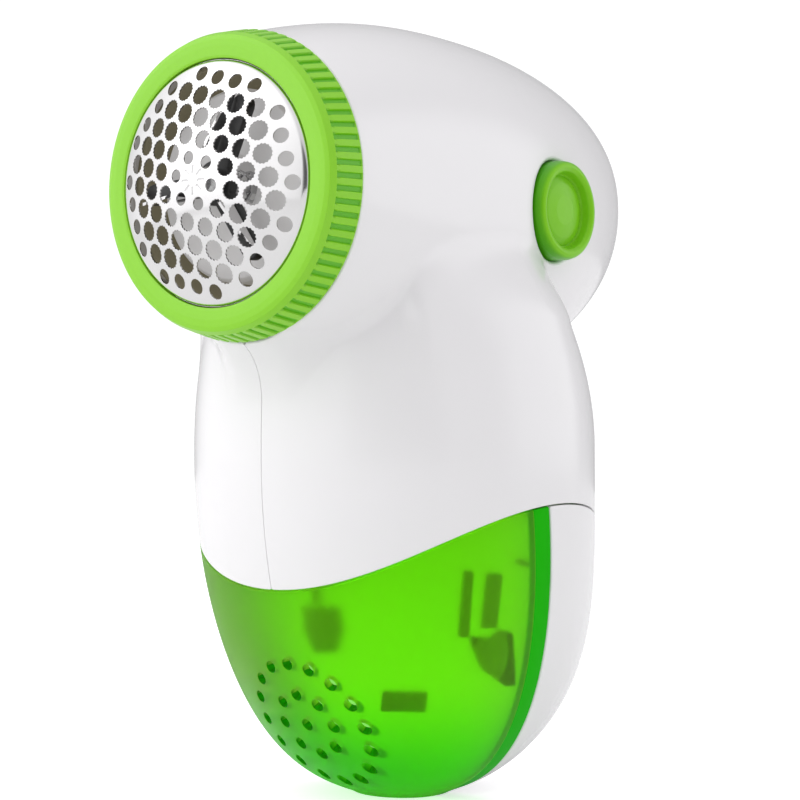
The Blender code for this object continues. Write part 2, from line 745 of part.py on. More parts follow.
def along_x(name, outline, steps, look, closed=False):
    """Turns (radius, x) points about the button's axis, from the outside in."""
    made = turned(name, outline, steps, look, closed)
    made.rotation_euler = (0.0, math.radians(90.0), 0.0)
    made.location = (0.0, BUTTON_Y, BUTTON_Z)
    return made


def make_button():
    face, radius = BUTTON_FACE_X, BUTTON_RADIUS
    dish = 6.6 * MM
    flange_x = face - 7.4 * MM
    outline = [
        (0.0, face - 1.1 * MM),
        (0.6 * dish, face - 1.4 * MM),
        (dish - 0.3 * MM, face - 2.0 * MM),
        (dish, face - 1.6 * MM),
        (dish + 0.4 * MM, face - 0.3 * MM),
        (dish + 1.1 * MM, face),
        (radius - 0.4 * MM, face - 0.3 * MM),
        (radius, face - 1.1 * MM),
        (radius, flange_x + 1.2 * MM),
        (radius + 1.6 * MM, flange_x + 1.2 * MM),
        (radius + 1.6 * MM, flange_x),
        (2.0 * MM, flange_x),
        (2.0 * MM, flange_x - 3.0 * MM),
        (0.0, flange_x - 3.0 * MM),
    ]
    along_x("power_button", outline, 28, LIME)
    stem_end = flange_x - 3.0 * MM
    switch_x = 6.5 * MM
    part("switch_plunger", cylinder(
        "switch_plunger", 1.2 * MM, (switch_x + 1.0 * MM + BUTTON_TRAVEL + 0.6 * MM, BUTTON_Y, BUTTON_Z),
        (stem_end - CLEAR, BUTTON_Y, BUTTON_Z), 12), BLACK)
    spring_start = switch_x + 1.0 * MM + CLEAR
    spring_length = flange_x - BUTTON_TRAVEL - CLEAR - spring_start
    coil("button_spring", 4.2 * MM, 4, (spring_start, BUTTON_Y, BUTTON_Z), (1, 0, 0),
         spring_length, 0.3 * MM, STEEL)
    body = part("switch_body", box(
        "switch_body", (switch_x - 5.5 * MM, BUTTON_Y - 6.0 * MM, BUTTON_Z - 6.0 * MM),
        (switch_x + 1.0 * MM, BUTTON_Y + 6.0 * MM, BUTTON_Z + 6.0 * MM)), BLACK)
    bevel(body, 0.4 * MM, 1)


# ---------------------------------------------------------------- batteries

def make_batteries():
    """Carrier, cells and contacts, all leaning with the divide."""
    plate, spring_room = 0.4 * MM, 2.7 * MM
    stack = CLEAR + plate + CLEAR                       # wall to plate to cell
    floor = CELL_BASE
    ceiling = floor + CELL_LENGTH + 2 * stack + spring_room
    front, rear = 0.5 * CLEAR + CLEAR, CELL_DEPTH + 3.0 * MM
    wall = 1.5 * MM
    half_width = CELL_OFFSET_X + CELL_RADIUS + 0.8 * MM
    carrier = leaning_part("battery_carrier", box(
        "battery_carrier", (-half_width, front, floor - wall), (half_width, rear, ceiling + wall)), WHITE)
    boolean(carrier, cutter("battery_space", leaning_box(
        "battery_space", (-60.0 * MM, front + wall, floor), (60.0 * MM, 60.0 * MM, ceiling))))
    boolean(carrier, cutter("battery_rib", leaning_box(
        "battery_rib", (-0.25 * MM, front + 0.5 * MM, floor - 0.5 * wall),
        (0.25 * MM, CELL_DEPTH - 4.5 * MM, ceiling + 0.5 * wall))), "UNION")
    for side, name in ((-1, "left"), (1, "right")):
        x = side * CELL_OFFSET_X
        nub_down = side < 0
        base = floor + stack + (0.0 if nub_down else spring_room)
        leaning_part("battery_" + name, cell_mesh("battery_" + name, x, base, nub_down), CELL_JACKET)
        start = (x, CELL_DEPTH, base + CELL_LENGTH + CLEAR if nub_down else base - CLEAR)
        spring = coil("contact_spring_" + name, 2.6 * MM, 2.5, start, (0, 0, 1 if nub_down else -1),
                      spring_room - CLEAR, 0.25 * MM, STEEL, 8)
        spring.matrix_world = leaning()
    for name, z in (("contact_plate_top", ceiling - CLEAR - plate), ("contact_plate_base", floor + CLEAR)):
        leaning_part(name, box(name, (-12.0 * MM, CELL_DEPTH - 4.0 * MM, z),
                               (12.0 * MM, CELL_DEPTH + 2.5 * MM, z + plate)), BRASS)


def leaning_part(name, mesh, look):
    made = part(name, mesh, look)
    made.matrix_world = leaning()
    return made


def cell_mesh(name, x, base, nub_down):
    """An AA cell with its nub up, or down."""
    step, top = 1.3 * MM, base + CELL_LENGTH
    points = [(CELL_RADIUS, base), (CELL_RADIUS, top - step), (2.7 * MM, top - step), (2.7 * MM, top)]
    if nub_down:
        points = [(radius, base + top - z) for radius, z in points]
    steps = 20
    rings = []
    for radius, z in points:
        angles = [2 * math.pi * i / steps for i in range(steps)]
        rings.append([(x + radius * math.cos(a), CELL_DEPTH + radius * math.sin(a), z) for a in angles])
    return loft(name, rings)


# ---------------------------------------------------------------- fasteners, catch and leads

def make_leads():
    terminal_y = MOTOR_FRONT_Y + MOTOR_LENGTH + 4.0 * MM
    below = AXIS_Z - 1.2 * MM
    red = [(-7.5 * MM, terminal_y, below), (-8.0 * MM, terminal_y + 0.5 * MM, AXIS_Z - 14.0 * MM),
           (-9.0 * MM, 3.0 * MM, 82.0 * MM), (-9.0 * MM, 1.5 * MM, 71.5 * MM)]
    black = [(7.5 * MM, terminal_y, below), (8.5 * MM, terminal_y + 0.5 * MM, AXIS_Z - 8.0 * MM),
             (7.0 * MM, 5.0 * MM, AXIS_Z - 11.0 * MM), (4.0 * MM, BUTTON_Y - 2.0 * MM, BUTTON_Z - 8.0 * MM)]
    link = [(4.0 * MM, BUTTON_Y + 2.0 * MM, BUTTON_Z - 7.0 * MM), (4.0 * MM, BUTTON_Y + 1.0 * MM, 88.0 * MM),
            (8.0 * MM, 4.0 * MM, 80.0 * MM), (8.0 * MM, 1.5 * MM, 71.5 * MM)]
    looks = {"lead_red": dict(colour=(0.6, 0.02, 0.02), roughness=0.4),
             "lead_black": BLACK, "lead_link": BLACK}
    for name, knots in (("lead_red", red), ("lead_black", black), ("lead_link", link)):
        wire(name, smooth_route(knots, 4), 0.6 * MM, looks[name], sides=1)


def make_pins():
    """Three pins pressed through the bosses hold the halves together."""
    for number, (y, z, _) in enumerate(PINS, 1):
        name = "housing_pin_%d" % number
        part(name, cylinder(name, PIN_RADIUS, (-PIN_REACH, y, z), (PIN_REACH, y, z), 12), STEEL)


clear_scene()
FORMS = make_forms()
make_housing()
make_container()
make_battery_cover()
make_collar()
make_foil()
make_chamber()
make_cutter()
make_drive()
make_motor()
make_duct()
make_button()
make_batteries()
make_leads()
make_pins()
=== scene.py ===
"""Looks of the fabric shaver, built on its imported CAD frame.

Metres, in the frame's axes: the foil faces -Y, the push button is on the +X side, +Z is up.
"""

import json
import math

import bmesh
import bpy
import numpy as np
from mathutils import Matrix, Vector


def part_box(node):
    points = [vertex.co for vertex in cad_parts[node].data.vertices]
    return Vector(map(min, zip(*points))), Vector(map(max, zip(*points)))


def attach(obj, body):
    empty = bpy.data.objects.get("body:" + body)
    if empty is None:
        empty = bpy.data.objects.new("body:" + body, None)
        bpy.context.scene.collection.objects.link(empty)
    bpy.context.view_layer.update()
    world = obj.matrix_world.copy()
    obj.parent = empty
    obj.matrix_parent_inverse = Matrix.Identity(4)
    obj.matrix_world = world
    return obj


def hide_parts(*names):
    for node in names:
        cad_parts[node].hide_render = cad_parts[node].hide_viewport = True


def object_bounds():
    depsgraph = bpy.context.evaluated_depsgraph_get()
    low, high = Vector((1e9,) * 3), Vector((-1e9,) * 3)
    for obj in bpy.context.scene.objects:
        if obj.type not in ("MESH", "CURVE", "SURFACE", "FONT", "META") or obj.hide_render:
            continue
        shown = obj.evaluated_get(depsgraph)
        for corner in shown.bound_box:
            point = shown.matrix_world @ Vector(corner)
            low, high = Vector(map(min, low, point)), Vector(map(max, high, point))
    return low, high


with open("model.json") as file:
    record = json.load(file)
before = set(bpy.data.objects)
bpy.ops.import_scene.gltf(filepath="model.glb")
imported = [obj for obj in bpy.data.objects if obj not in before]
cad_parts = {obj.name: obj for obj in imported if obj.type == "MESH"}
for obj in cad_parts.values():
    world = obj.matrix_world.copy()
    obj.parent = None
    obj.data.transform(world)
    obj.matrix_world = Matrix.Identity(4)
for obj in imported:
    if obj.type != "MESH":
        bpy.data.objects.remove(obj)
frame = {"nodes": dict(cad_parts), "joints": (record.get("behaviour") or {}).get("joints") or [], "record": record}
CAD_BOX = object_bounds()
MM = 0.001


def middle(node):
    low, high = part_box(node)
    return (low + high) / 2


# ---------------------------------------------------------------- places read from the frame

COLLAR_LOW, COLLAR_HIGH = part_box("collar_ring")
FOIL_LOW, FOIL_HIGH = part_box("shaving_foil")
BUTTON_LOW, BUTTON_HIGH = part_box("power_button")
AXIS_Z = middle("collar_ring").z
FOIL_RADIUS = (FOIL_HIGH.x - FOIL_LOW.x) / 2
BUTTON_CENTRE = middle("power_button")
BUTTON_FLANGE = (BUTTON_HIGH.z - BUTTON_LOW.z) / 2
BUTTON_RADIUS = BUTTON_FLANGE - 1.6 * MM
DIVIDE_LEAN = math.atan2(frame["joints"][3]["axis"][1], -frame["joints"][3]["axis"][2])

# The shells' form. Handle: sections stacked along Z. Head: sections stacked along Y.
HANDLE_Y = -2.65 * MM
HANDLE_WIDE_Z = 61.7 * MM
HANDLE_TOP_Z = 106.0 * MM
HANDLE_CROWN_Z = 84.0 * MM      # above this the handle draws in under the head
CROWN_REACH = 12.5 * MM
CROWN_PULL = 8.0 * MM
HANDLE_HALF_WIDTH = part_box("right_housing")[1].x
HANDLE_FRONT = 37.9 * MM
HANDLE_REAR = 32.9 * MM
HANDLE_SQUARENESS = 2.05
BASE_ROUNDING = (2.5, 2.3, 2.8)
BASE_FULLNESS = (-0.05, -0.18, 0.97)
BASE_FLAT = 0.75 * MM
NECK_SPAN = 55.3 * MM
NECK_TAPER = (0.53, 0.21, 1.53)
HEAD_LIP_Y = COLLAR_HIGH.y + 0.3 * MM
HEAD_FULL_Y = -7.25 * MM
HEAD_TIP_Y = CAD_BOX[1].y
HEAD_HALF_WIDTH = 25.9 * MM
HEAD_HALF_HEIGHT = 31.7 * MM
HEAD_MID_Z = 104.25 * MM
HEAD_TIP_Z = 110.0 * MM
HEAD_LIP_RADIUS = 25.2 * MM
HEAD_SQUARENESS = 2.1
HEAD_ROUND_REAR = 2.13
CREASE = 2.0 * MM               # width of the blend between handle and head
SIDE_BLEND = 9.0 * MM           # how much wider it is on the flanks
FRONT_BLEND = 7.0 * MM          # and below the collar
SIDE_BLEND_X = (20.0 * MM, 6.0 * MM)        # where each widening begins, and over what length it grows
SIDE_BLEND_Y = (17.0 * MM, 12.0 * MM)
FRONT_BLEND_Y = (-24.0 * MM, 9.0 * MM)
FRONT_BLEND_X = (14.0 * MM, 9.0 * MM)
BASE_EDGE = 0.6 * MM            # blend between the form and its flat base

PARTING_SPAN = 34.1 * MM
PARTING_HEIGHTS = (52.3 * MM, 0.4 * MM, -10.7 * MM, 1.4 * MM, -0.8 * MM)
DIVIDE_BASE_Y = 1.3 * MM
WALL = 1.8 * MM
BUTTON_WALL = 2.6 * MM          # the right shell is thicker, so that the button's hole looks deep
BUTTON_GAP = 0.3 * MM
BACK_SETBACK = 0.6 * MM         # of the container's rear wall from the divide

VENT_Z = 14.65 * MM
VENT_RINGS = ((0.0, 1), (5.4 * MM, 8), (10.8 * MM, 16))
VENT_RADIUS = 1.0 * MM

FOIL_RISE = 4.95 * MM
FOIL_SPHERE = (FOIL_RADIUS ** 2 + FOIL_RISE ** 2) / (2 * FOIL_RISE)
FOIL_SHEET = 0.25 * MM
FOIL_SPACING = 0.15 * MM        # between the points of its mesh
STROKE_DEPTH = 0.16 * MM
STROKE_WIDTH = 0.16 * MM
STROKE_MIDDLE = 1.75 * MM       # the strokes' middle from the axis, and half their length
STROKE_HALF = 0.75 * MM
HOLE_PITCH = 3.9 * MM
HOLE_TURN = math.radians(45.7)
HOLE_RADII = (1.08 * MM, 1.46 * MM, 1.58 * MM, 1.58 * MM, 1.22 * MM)   # by ring, from the middle
HOLE_TEETH = (0.0, 0.13, 0.13, 0.13, 0.04)      # depth of the toothed edge, as a share of the radius


# ---------------------------------------------------------------- the form

def superellipse(t, power):
    return np.maximum(1e-6, 1.0 - np.clip(t, 0.0, 1.0) ** power) ** (1.0 / power)


def handle_value(points):
    """Roughly the distance outside the handle."""
    x, y, z = points.T
    level = np.hypot(z, BASE_FLAT)
    t = np.clip((HANDLE_WIDE_Z - level) / HANDLE_WIDE_Z, 0.0, 1.0)
    swell = t ** 2 * (1.0 - t ** 2)
    rise = np.maximum(0.0, (level - HANDLE_WIDE_Z) / NECK_SPAN) ** 2
    reaches = []
    for size, power, fullness, taper in zip(
            (HANDLE_HALF_WIDTH, HANDLE_FRONT, HANDLE_REAR), BASE_ROUNDING, BASE_FULLNESS, NECK_TAPER):
        low = superellipse(t, power) * (1.0 + fullness * swell)
        reaches.append(size * np.maximum(0.03, low - taper * rise))
    side, front, rear = reaches
    depth = np.where(y < HANDLE_Y, front, rear)
    m = HANDLE_SQUARENESS
    ratio = ((np.abs(x) / side) ** m + (np.abs(y - HANDLE_Y) / depth) ** m) ** (1.0 / m)
    value = (ratio - 1.0) * np.minimum(side, depth)
    crown = np.maximum(0.0, (z - HANDLE_CROWN_Z) / CROWN_REACH) ** 2
    return np.maximum(value + CROWN_PULL * crown, z - HANDLE_TOP_Z)


def head_value(points):
    """Roughly the distance outside the head."""
    x, y, z = points.T
    ahead = np.clip((HEAD_FULL_Y - y) / (HEAD_FULL_Y - HEAD_LIP_Y), 0.0, 1.0) ** 2
    width = HEAD_HALF_WIDTH + (HEAD_LIP_RADIUS - HEAD_HALF_WIDTH) * ahead
    height = HEAD_HALF_HEIGHT + (HEAD_LIP_RADIUS - HEAD_HALF_HEIGHT) * ahead
    mid = HEAD_MID_Z + (AXIS_Z - HEAD_MID_Z) * ahead
    behind = np.maximum(0.0, (y - HEAD_FULL_Y) / (HEAD_TIP_Y - HEAD_FULL_Y))
    lift = (HEAD_TIP_Z - HEAD_MID_Z) * np.clip(4.0 * behind, 0.0, 1.0)
    m, p = HEAD_SQUARENESS, HEAD_ROUND_REAR
    ratio = np.ones_like(x)
    for _ in range(9):
        tall = np.abs(z - mid - lift * (1.0 - np.minimum(ratio, 1.2))) / height
        ratio = ((np.abs(x) / width) ** m + tall ** m) ** (1.0 / m)
    return ((ratio ** p + behind ** p) ** (1.0 / p) - 1.0) * np.minimum(width, height)


def eased(t):
    t = np.clip(t, 0.0, 1.0)
    return t * t * (3 - 2 * t)


def beyond(value, start):
    """Grows from 0 to 1 as value passes start[0], over the length start[1]."""
    return eased((value - start[0]) / start[1])


def short_of(value, start):
    return eased((start[0] - value) / start[1])


def blend_width(points):
    """The crease round the head's foot is sharp, but soft on the flanks and below the collar."""
    x, y = np.abs(points[:, 0]), points[:, 1]
    flank = beyond(x, SIDE_BLEND_X) * short_of(y, SIDE_BLEND_Y)
    front = short_of(y, FRONT_BLEND_Y) * short_of(x, FRONT_BLEND_X)
    return CREASE + SIDE_BLEND * flank + FRONT_BLEND * front


def form_value(points):
    a, b = head_value(points), handle_value(points)
    k = blend_width(points)
    h = np.clip(0.5 + 0.5 * (a - b) / k, 0.0, 1.0)
    value = a * (1 - h) + b * h - k * h * (1 - h)
    low = -points[:, 2]
    k = BASE_EDGE
    h = np.clip(0.5 - 0.5 * (value - low) / k, 0.0, 1.0)
    return value * (1 - h) + low * h + k * h * (1 - h)


def gradient(value, points, step=0.01 * MM):
    parts = []
    for axis in range(3):
        offset = np.zeros(3)
        offset[axis] = step
        parts.append((value(points + offset) - value(points - offset)) / (2 * step))
    return np.stack(parts, axis=1)


def unit(vectors):
    return vectors / np.maximum(1e-12, np.linalg.norm(vectors, axis=1, keepdims=True))


def settle(value, points, level=0.0, steps=6):
    """Moves points along the gradient until value(points) is level."""
    for _ in range(steps):
        slope = gradient(value, points)
        miss = value(points) - level
        move = miss[:, None] * slope / np.maximum(1e-9, (slope ** 2).sum(1))[:, None]
        length = np.linalg.norm(move, axis=1, keepdims=True)
        points = points - move * np.minimum(1.0, 1.0 * MM / np.maximum(length, 1e-12))
    return points


# ---------------------------------------------------------------- mesh helpers

def new_object(name, mesh):
    made = bpy.data.objects.new(name, mesh)
    bpy.context.scene.collection.objects.link(made)
    return made


def grid_faces(rows, columns, closed=True):
    """Quads over a grid of points stored row by row; closed joins the last column to the first."""
    faces = []
    for i in range(rows - 1):
        for j in range(columns if closed else columns - 1):
            k = (j + 1) % columns
            faces.append((i * columns + j, i * columns + k, (i + 1) * columns + k, (i + 1) * columns + j))
    return faces


def smooth_mesh(name, points, faces, normals=None):
    mesh = bpy.data.meshes.new(name)
    mesh.from_pydata([tuple(p) for p in points], [], faces)
    mesh.shade_smooth()
    if normals is not None:
        mesh.normals_split_custom_set_from_vertices([tuple(n) for n in normals])
    return mesh


def closed_loft(rings):
    """Points and faces of a closed body through rings."""
    columns = len(rings[0])
    points = np.concatenate(rings)
    faces = grid_faces(len(rings), columns)
    faces.append(tuple(reversed(range(columns))))
    faces.append(tuple(range(len(points) - columns, len(points))))
    return points, faces


def rough_form():
    """Two overlapping lofts, fused by a voxel remesh; settle() then moves the points onto the form."""
    steps = 72
    angles = np.arange(steps) * 2 * math.pi / steps
    handle_rings = []
    for t in np.linspace(0.0, 1.0, 40):
        z = HANDLE_TOP_Z * t ** 1.6
        start = np.stack([np.sin(angles), -np.cos(angles), 0 * angles], 1)
        ring = np.array([0.0, HANDLE_Y, z]) + start * 3.0 * MM
        handle_rings.append(shoot(ring, start, handle_value, z_top=HANDLE_TOP_Z))
    head_rings = []
    for t in np.linspace(0.0, 1.0, 44):
        y = HEAD_LIP_Y - 2.0 * MM + (HEAD_TIP_Y - HEAD_LIP_Y + 1.9 * MM) * (1 - (1 - t) ** 1.7)
        start = np.stack([np.sin(angles), 0 * angles, np.cos(angles)], 1)
        drift = np.clip((y - HEAD_FULL_Y) / (HEAD_TIP_Y - HEAD_FULL_Y), 0.0, 1.0) ** 6
        ring = np.array([0.0, y, HEAD_MID_Z + (HEAD_TIP_Z - HEAD_MID_Z) * drift]) + start * 0.1 * MM
        head_rings.append(shoot(ring, start, head_value))
    mesh = bpy.data.meshes.new("rough_form")
    work = bmesh.new()
    for rings in (handle_rings, head_rings):
        points, faces = closed_loft(rings)
        verts = [work.verts.new(p) for p in points]
        for face in faces:
            work.faces.new([verts[i] for i in face])
    bmesh.ops.recalc_face_normals(work, faces=work.faces)
    work.to_mesh(mesh)
    work.free()
    rough = new_object("rough_form", mesh)
    fuse = rough.modifiers.new("fuse", "REMESH")
    fuse.mode = "VOXEL"
    fuse.voxel_size = 0.8 * MM
    fused = bpy.data.meshes.new_from_object(rough.evaluated_get(bpy.context.evaluated_depsgraph_get()))
    bpy.data.objects.remove(rough)
    return fused


def shoot(points, directions, value, z_top=None, reach=70.0 * MM):
    """Where rays from inside leave the surface value = 0."""
    near, far = np.zeros(len(points)), np.full(len(points), reach)
    for _ in range(40):
        half = (near + far) / 2
        place = points + directions * half[:, None]
        if z_top is not None:
            place[:, 2] = np.minimum(place[:, 2], z_top - 1e-5)
        inside = value(place) < 0
        near, far = np.where(inside, half, near), np.where(inside, far, half)
    return points + directions * near[:, None]


def trim(work, value, level):
    """Cuts a mesh along value = level and keeps the side below it."""
    verts = list(work.verts)
    points = np.array([v.co for v in verts])
    amounts = dict(zip(verts, value(points) - level))
    fresh = set()
    for edge in list(work.edges):
        a, b = edge.verts
        if amounts[a] * amounts[b] < 0:
            share = amounts[a] / (amounts[a] - amounts[b])
            _, made = bmesh.utils.edge_split(edge, a, share)
            amounts[made] = 0.0
            fresh.add(made)
    for face in list({f for v in fresh for f in v.link_faces}):
        on_line = [v for v in face.verts if v in fresh]
        if len(on_line) == 2:
            bmesh.utils.face_split(face, on_line[0], on_line[1])
    doomed = [f for f in work.faces if max(amounts[v] for v in f.verts) > 0]
    bmesh.ops.delete(work, geom=doomed, context="FACES")
    loose = [v for v in work.verts if not v.link_faces]
    bmesh.ops.delete(work, geom=loose, context="VERTS")


def shell(name, source, value, cuts, wall, refine=None):
    """A moulded shell with rounded edges: the part of a surface where every cut's value is negative.

    cuts holds (value, half gap, edge radius). The mesh is made finer before the cut named by refine.
    The surface's own value gives its normals.
    """
    work = bmesh.new()
    work.from_mesh(source)
    for cut, gap, radius in cuts:
        if cut is refine:
            bmesh.ops.subdivide_edges(work, edges=list(work.edges), cuts=1, use_grid_fill=True)
            settled = settle(value, np.array([v.co for v in work.verts]), steps=3)
            for vert, place in zip(work.verts, settled):
                vert.co = place
        trim(work, cut, -gap - radius)
    work.verts.index_update()
    points = np.array([v.co for v in work.verts])
    border = [v.index for v in work.verts if v.is_boundary]
    outer_faces = [tuple(v.index for v in f.verts) for f in work.faces]
    ahead = {}
    for edge in work.edges:
        if edge.is_boundary:
            loop = edge.link_loops[0]
            ahead[loop.vert.index] = loop.link_loop_next.vert.index
    work.free()
    behind = {b: a for a, b in ahead.items()}
    border = np.array([i for i in border if i in ahead and i in behind])
    misses = np.stack([np.abs(cut(points[border]) + gap + radius) for cut, gap, radius in cuts])
    which = misses.argmin(0)
    for _ in range(3):
        for number, (cut, gap, radius) in enumerate(cuts):
            mine = border[which == number]
            if len(mine):
                points[mine] = settle(cut, points[mine], -gap - radius, 1)
        points[border] = settle(value, points[border], 0.0, 1)
    normals = unit(gradient(value, points))
    place = {index: k for k, index in enumerate(border)}
    after = points[[ahead[i] for i in border]]
    before = points[[behind[i] for i in border]]
    edge_normals = normals[border]
    outward = unit(np.cross(after - before, edge_normals))
    radii = np.array([cuts[k][2] for k in which])[:, None]
    rows, row_normals = [], []
    turns = 5
    for k in range(1, turns + 1):
        angle = 0.5 * math.pi * k / turns
        rows.append(points[border] + radii * math.sin(angle) * outward
                    - radii * (1 - math.cos(angle)) * edge_normals)
        row_normals.append(math.cos(angle) * edge_normals + math.sin(angle) * outward)
    rows.append(points[border] + radii * outward - wall * edge_normals)
    row_normals.append(outward)
    count, size = len(points), len(border)
    all_points = np.concatenate([points, *rows, points - wall * normals])
    all_normals = np.concatenate([normals, *row_normals, -normals])
    inner = count + size * len(rows)
    faces = list(outer_faces)
    faces += [tuple(inner + i for i in reversed(face)) for face in outer_faces]
    for index in border:
        k, following = place[index], ahead[index]
        if following not in place:
            continue
        m = place[following]
        chain_a = [index] + [count + r * size + k for r in range(len(rows))] + [inner + index]
        chain_b = [following] + [count + r * size + m for r in range(len(rows))] + [inner + following]
        for r in range(len(chain_a) - 1):
            faces.append((chain_b[r], chain_a[r], chain_a[r + 1], chain_b[r + 1]))
    return new_object(name, smooth_mesh(name, all_points, faces, all_normals))


# ---------------------------------------------------------------- cuts through the form

def parting_height(y):
    t = np.maximum((y - HANDLE_Y) / PARTING_SPAN, -1.1)
    t = np.where(t > 0.8, 0.8 + 0.2 * np.tanh((t - 0.8) / 0.2), t)
    return sum(k * t ** power for power, k in enumerate(PARTING_HEIGHTS))


def above_parting(points):
    slope = (parting_height(points[:, 1] + MM) - parting_height(points[:, 1] - MM)) / (2 * MM)
    return (points[:, 2] - parting_height(points[:, 1])) / np.sqrt(1 + slope ** 2)


def below_parting(points):
    return -above_parting(points)


def behind_divide(points):
    y = points[:, 1] - DIVIDE_BASE_Y
    return y * math.cos(DIVIDE_LEAN) + points[:, 2] * math.sin(DIVIDE_LEAN)


def ahead_of_divide(points):
    return -behind_divide(points)


def right_of_seam(points):
    return points[:, 0]


def left_of_seam(points):
    return -points[:, 0]


def past_mouth(points):
    return HEAD_LIP_Y - points[:, 1]


def in_button_hole(points):
    away = np.hypot(points[:, 1] - BUTTON_CENTRE.y, points[:, 2] - BUTTON_CENTRE.z)
    return np.where(points[:, 0] > 0, BUTTON_RADIUS + BUTTON_GAP - away, -1.0)


def vent_centres():
    for radius, count in VENT_RINGS:
        for i in range(count):
            angle = 2 * math.pi * i / count
            yield radius * math.sin(angle), VENT_Z + radius * math.cos(angle)


def in_vents(points):
    away = np.min([np.hypot(points[:, 0] - x, points[:, 2] - z) for x, z in vent_centres()], axis=0)
    return np.where(points[:, 1] < HANDLE_Y, VENT_RADIUS - away, -1.0)


# ---------------------------------------------------------------- materials

def mix_colour(nodes, links, factor, first, second):
    mix = nodes.new("ShaderNodeMix")
    mix.data_type = "RGBA"
    mix.inputs["A"].default_value = (*first, 1.0)
    mix.inputs["B"].default_value = (*second, 1.0)
    links.new(factor, mix.inputs["Factor"])
    return mix.outputs["Result"]


def finish_material(name, first, second, rough, grain, bump=0.0, detail=3.0, **fixed):
    """A Principled surface whose colour and roughness vary a little with noise, grain metres across."""
    made = bpy.data.materials.new(name)
    made.use_nodes = True
    nodes, links = made.node_tree.nodes, made.node_tree.links
    shader = nodes["Principled BSDF"]
    coordinates = nodes.new("ShaderNodeTexCoord")
    noise = nodes.new("ShaderNodeTexNoise")
    noise.inputs["Scale"].default_value = 1.0 / grain
    noise.inputs["Detail"].default_value = detail
    links.new(coordinates.outputs["Object"], noise.inputs["Vector"])
    links.new(mix_colour(nodes, links, noise.outputs["Fac"], first, second), shader.inputs["Base Color"])
    spread = nodes.new("ShaderNodeMapRange")
    spread.inputs["To Min"].default_value = rough[0]
    spread.inputs["To Max"].default_value = rough[1]
    links.new(noise.outputs["Fac"], spread.inputs["Value"])
    links.new(spread.outputs["Result"], shader.inputs["Roughness"])
    if bump:
        relief = nodes.new("ShaderNodeBump")
        relief.inputs["Strength"].default_value = 1.0
        relief.inputs["Distance"].default_value = bump
        links.new(noise.outputs["Fac"], relief.inputs["Height"])
        links.new(relief.outputs["Normal"], shader.inputs["Normal"])
    for socket, amount in fixed.items():
        shader.inputs[socket.replace("_", " ")].default_value = amount
    return made


def paint(piece, look):
    piece.data.materials.clear()
    piece.data.materials.append(look)


def dot_along(nodes, links, place, direction):
    facing = nodes.new("ShaderNodeVectorMath")
    facing.operation = "DOT_PRODUCT"
    facing.inputs[1].default_value = direction
    links.new(place, facing.inputs[0])
    return facing.outputs["Value"]


def distance_from(nodes, links, place, centre):
    away = nodes.new("ShaderNodeVectorMath")
    away.operation = "DISTANCE"
    away.inputs[1].default_value = centre
    links.new(place, away.inputs[0])
    return away.outputs["Value"]


def position_mask(nodes, links, direction, offset, edge):
    """1 where direction . place passes offset, over a soft edge."""
    place = nodes.new("ShaderNodeTexCoord").outputs["Object"]
    return ramp(nodes, links, dot_along(nodes, links, place, direction), offset, offset + edge, 0.0, 1.0)


def ramp(nodes, links, value, start, end, low, high):
    made = nodes.new("ShaderNodeMapRange")
    made.interpolation_type = "SMOOTHSTEP"
    made.inputs["From Min"].default_value = start
    made.inputs["From Max"].default_value = end
    made.inputs["To Min"].default_value = low
    made.inputs["To Max"].default_value = high
    links.new(value, made.inputs["Value"])
    return made.outputs["Result"]


def blend(nodes, links, factor, first, second, kind="FLOAT"):
    """Mixes two sockets."""
    mix = nodes.new("ShaderNodeMix")
    mix.data_type = kind
    links.new(factor, mix.inputs["Factor"])
    links.new(first, mix.inputs["A"])
    links.new(second, mix.inputs["B"])
    return mix.outputs["Result"]


def multiplied(nodes, links, first, second):
    product = nodes.new("ShaderNodeMath")
    product.operation = "MULTIPLY"
    links.new(first, product.inputs[0])
    links.new(second, product.inputs[1])
    return product.outputs["Value"]


def tinted(nodes, links, mask, colour, first, second):
    """The colour, given over to a second one where the mask is 1."""
    return blend(nodes, links, mask, colour, mix_colour(nodes, links, mask, first, second), "RGBA")


def source_of(socket):
    return socket.links[0].from_socket


BUTTON_SHADE_SPAN = (8.1 * MM, 8.9 * MM)     # distances from the button's axis over which its painted shade deepens


def button_material():
    """The button's lime, with painted shade down its side wall, where it sits in the hole."""
    made = finish_material("button_lime", (0.19, 0.55, 0.008), (0.21, 0.58, 0.010), (0.30, 0.38), 0.0008,
                           bump=0.004 * MM, Specular_Tint=(0.7, 1.0, 0.4, 1.0))
    nodes, links = made.node_tree.nodes, made.node_tree.links
    base = nodes["Principled BSDF"].inputs["Base Color"]
    flat = nodes.new("ShaderNodeVectorMath")
    flat.operation = "MULTIPLY"
    flat.inputs[1].default_value = (0.0, 1.0, 1.0)
    links.new(nodes.new("ShaderNodeTexCoord").outputs["Object"], flat.inputs[0])
    away = distance_from(nodes, links, flat.outputs["Vector"], (0.0, BUTTON_CENTRE.y, BUTTON_CENTRE.z))
    # painted shade: the side wall, down in the hole, is tinted a deeper lime
    side = ramp(nodes, links, away, *BUTTON_SHADE_SPAN, 0.0, 1.0)
    links.new(tinted(nodes, links, side, source_of(base), (0.05, 0.35, 0.0), (0.06, 0.37, 0.0)), base)
    return made


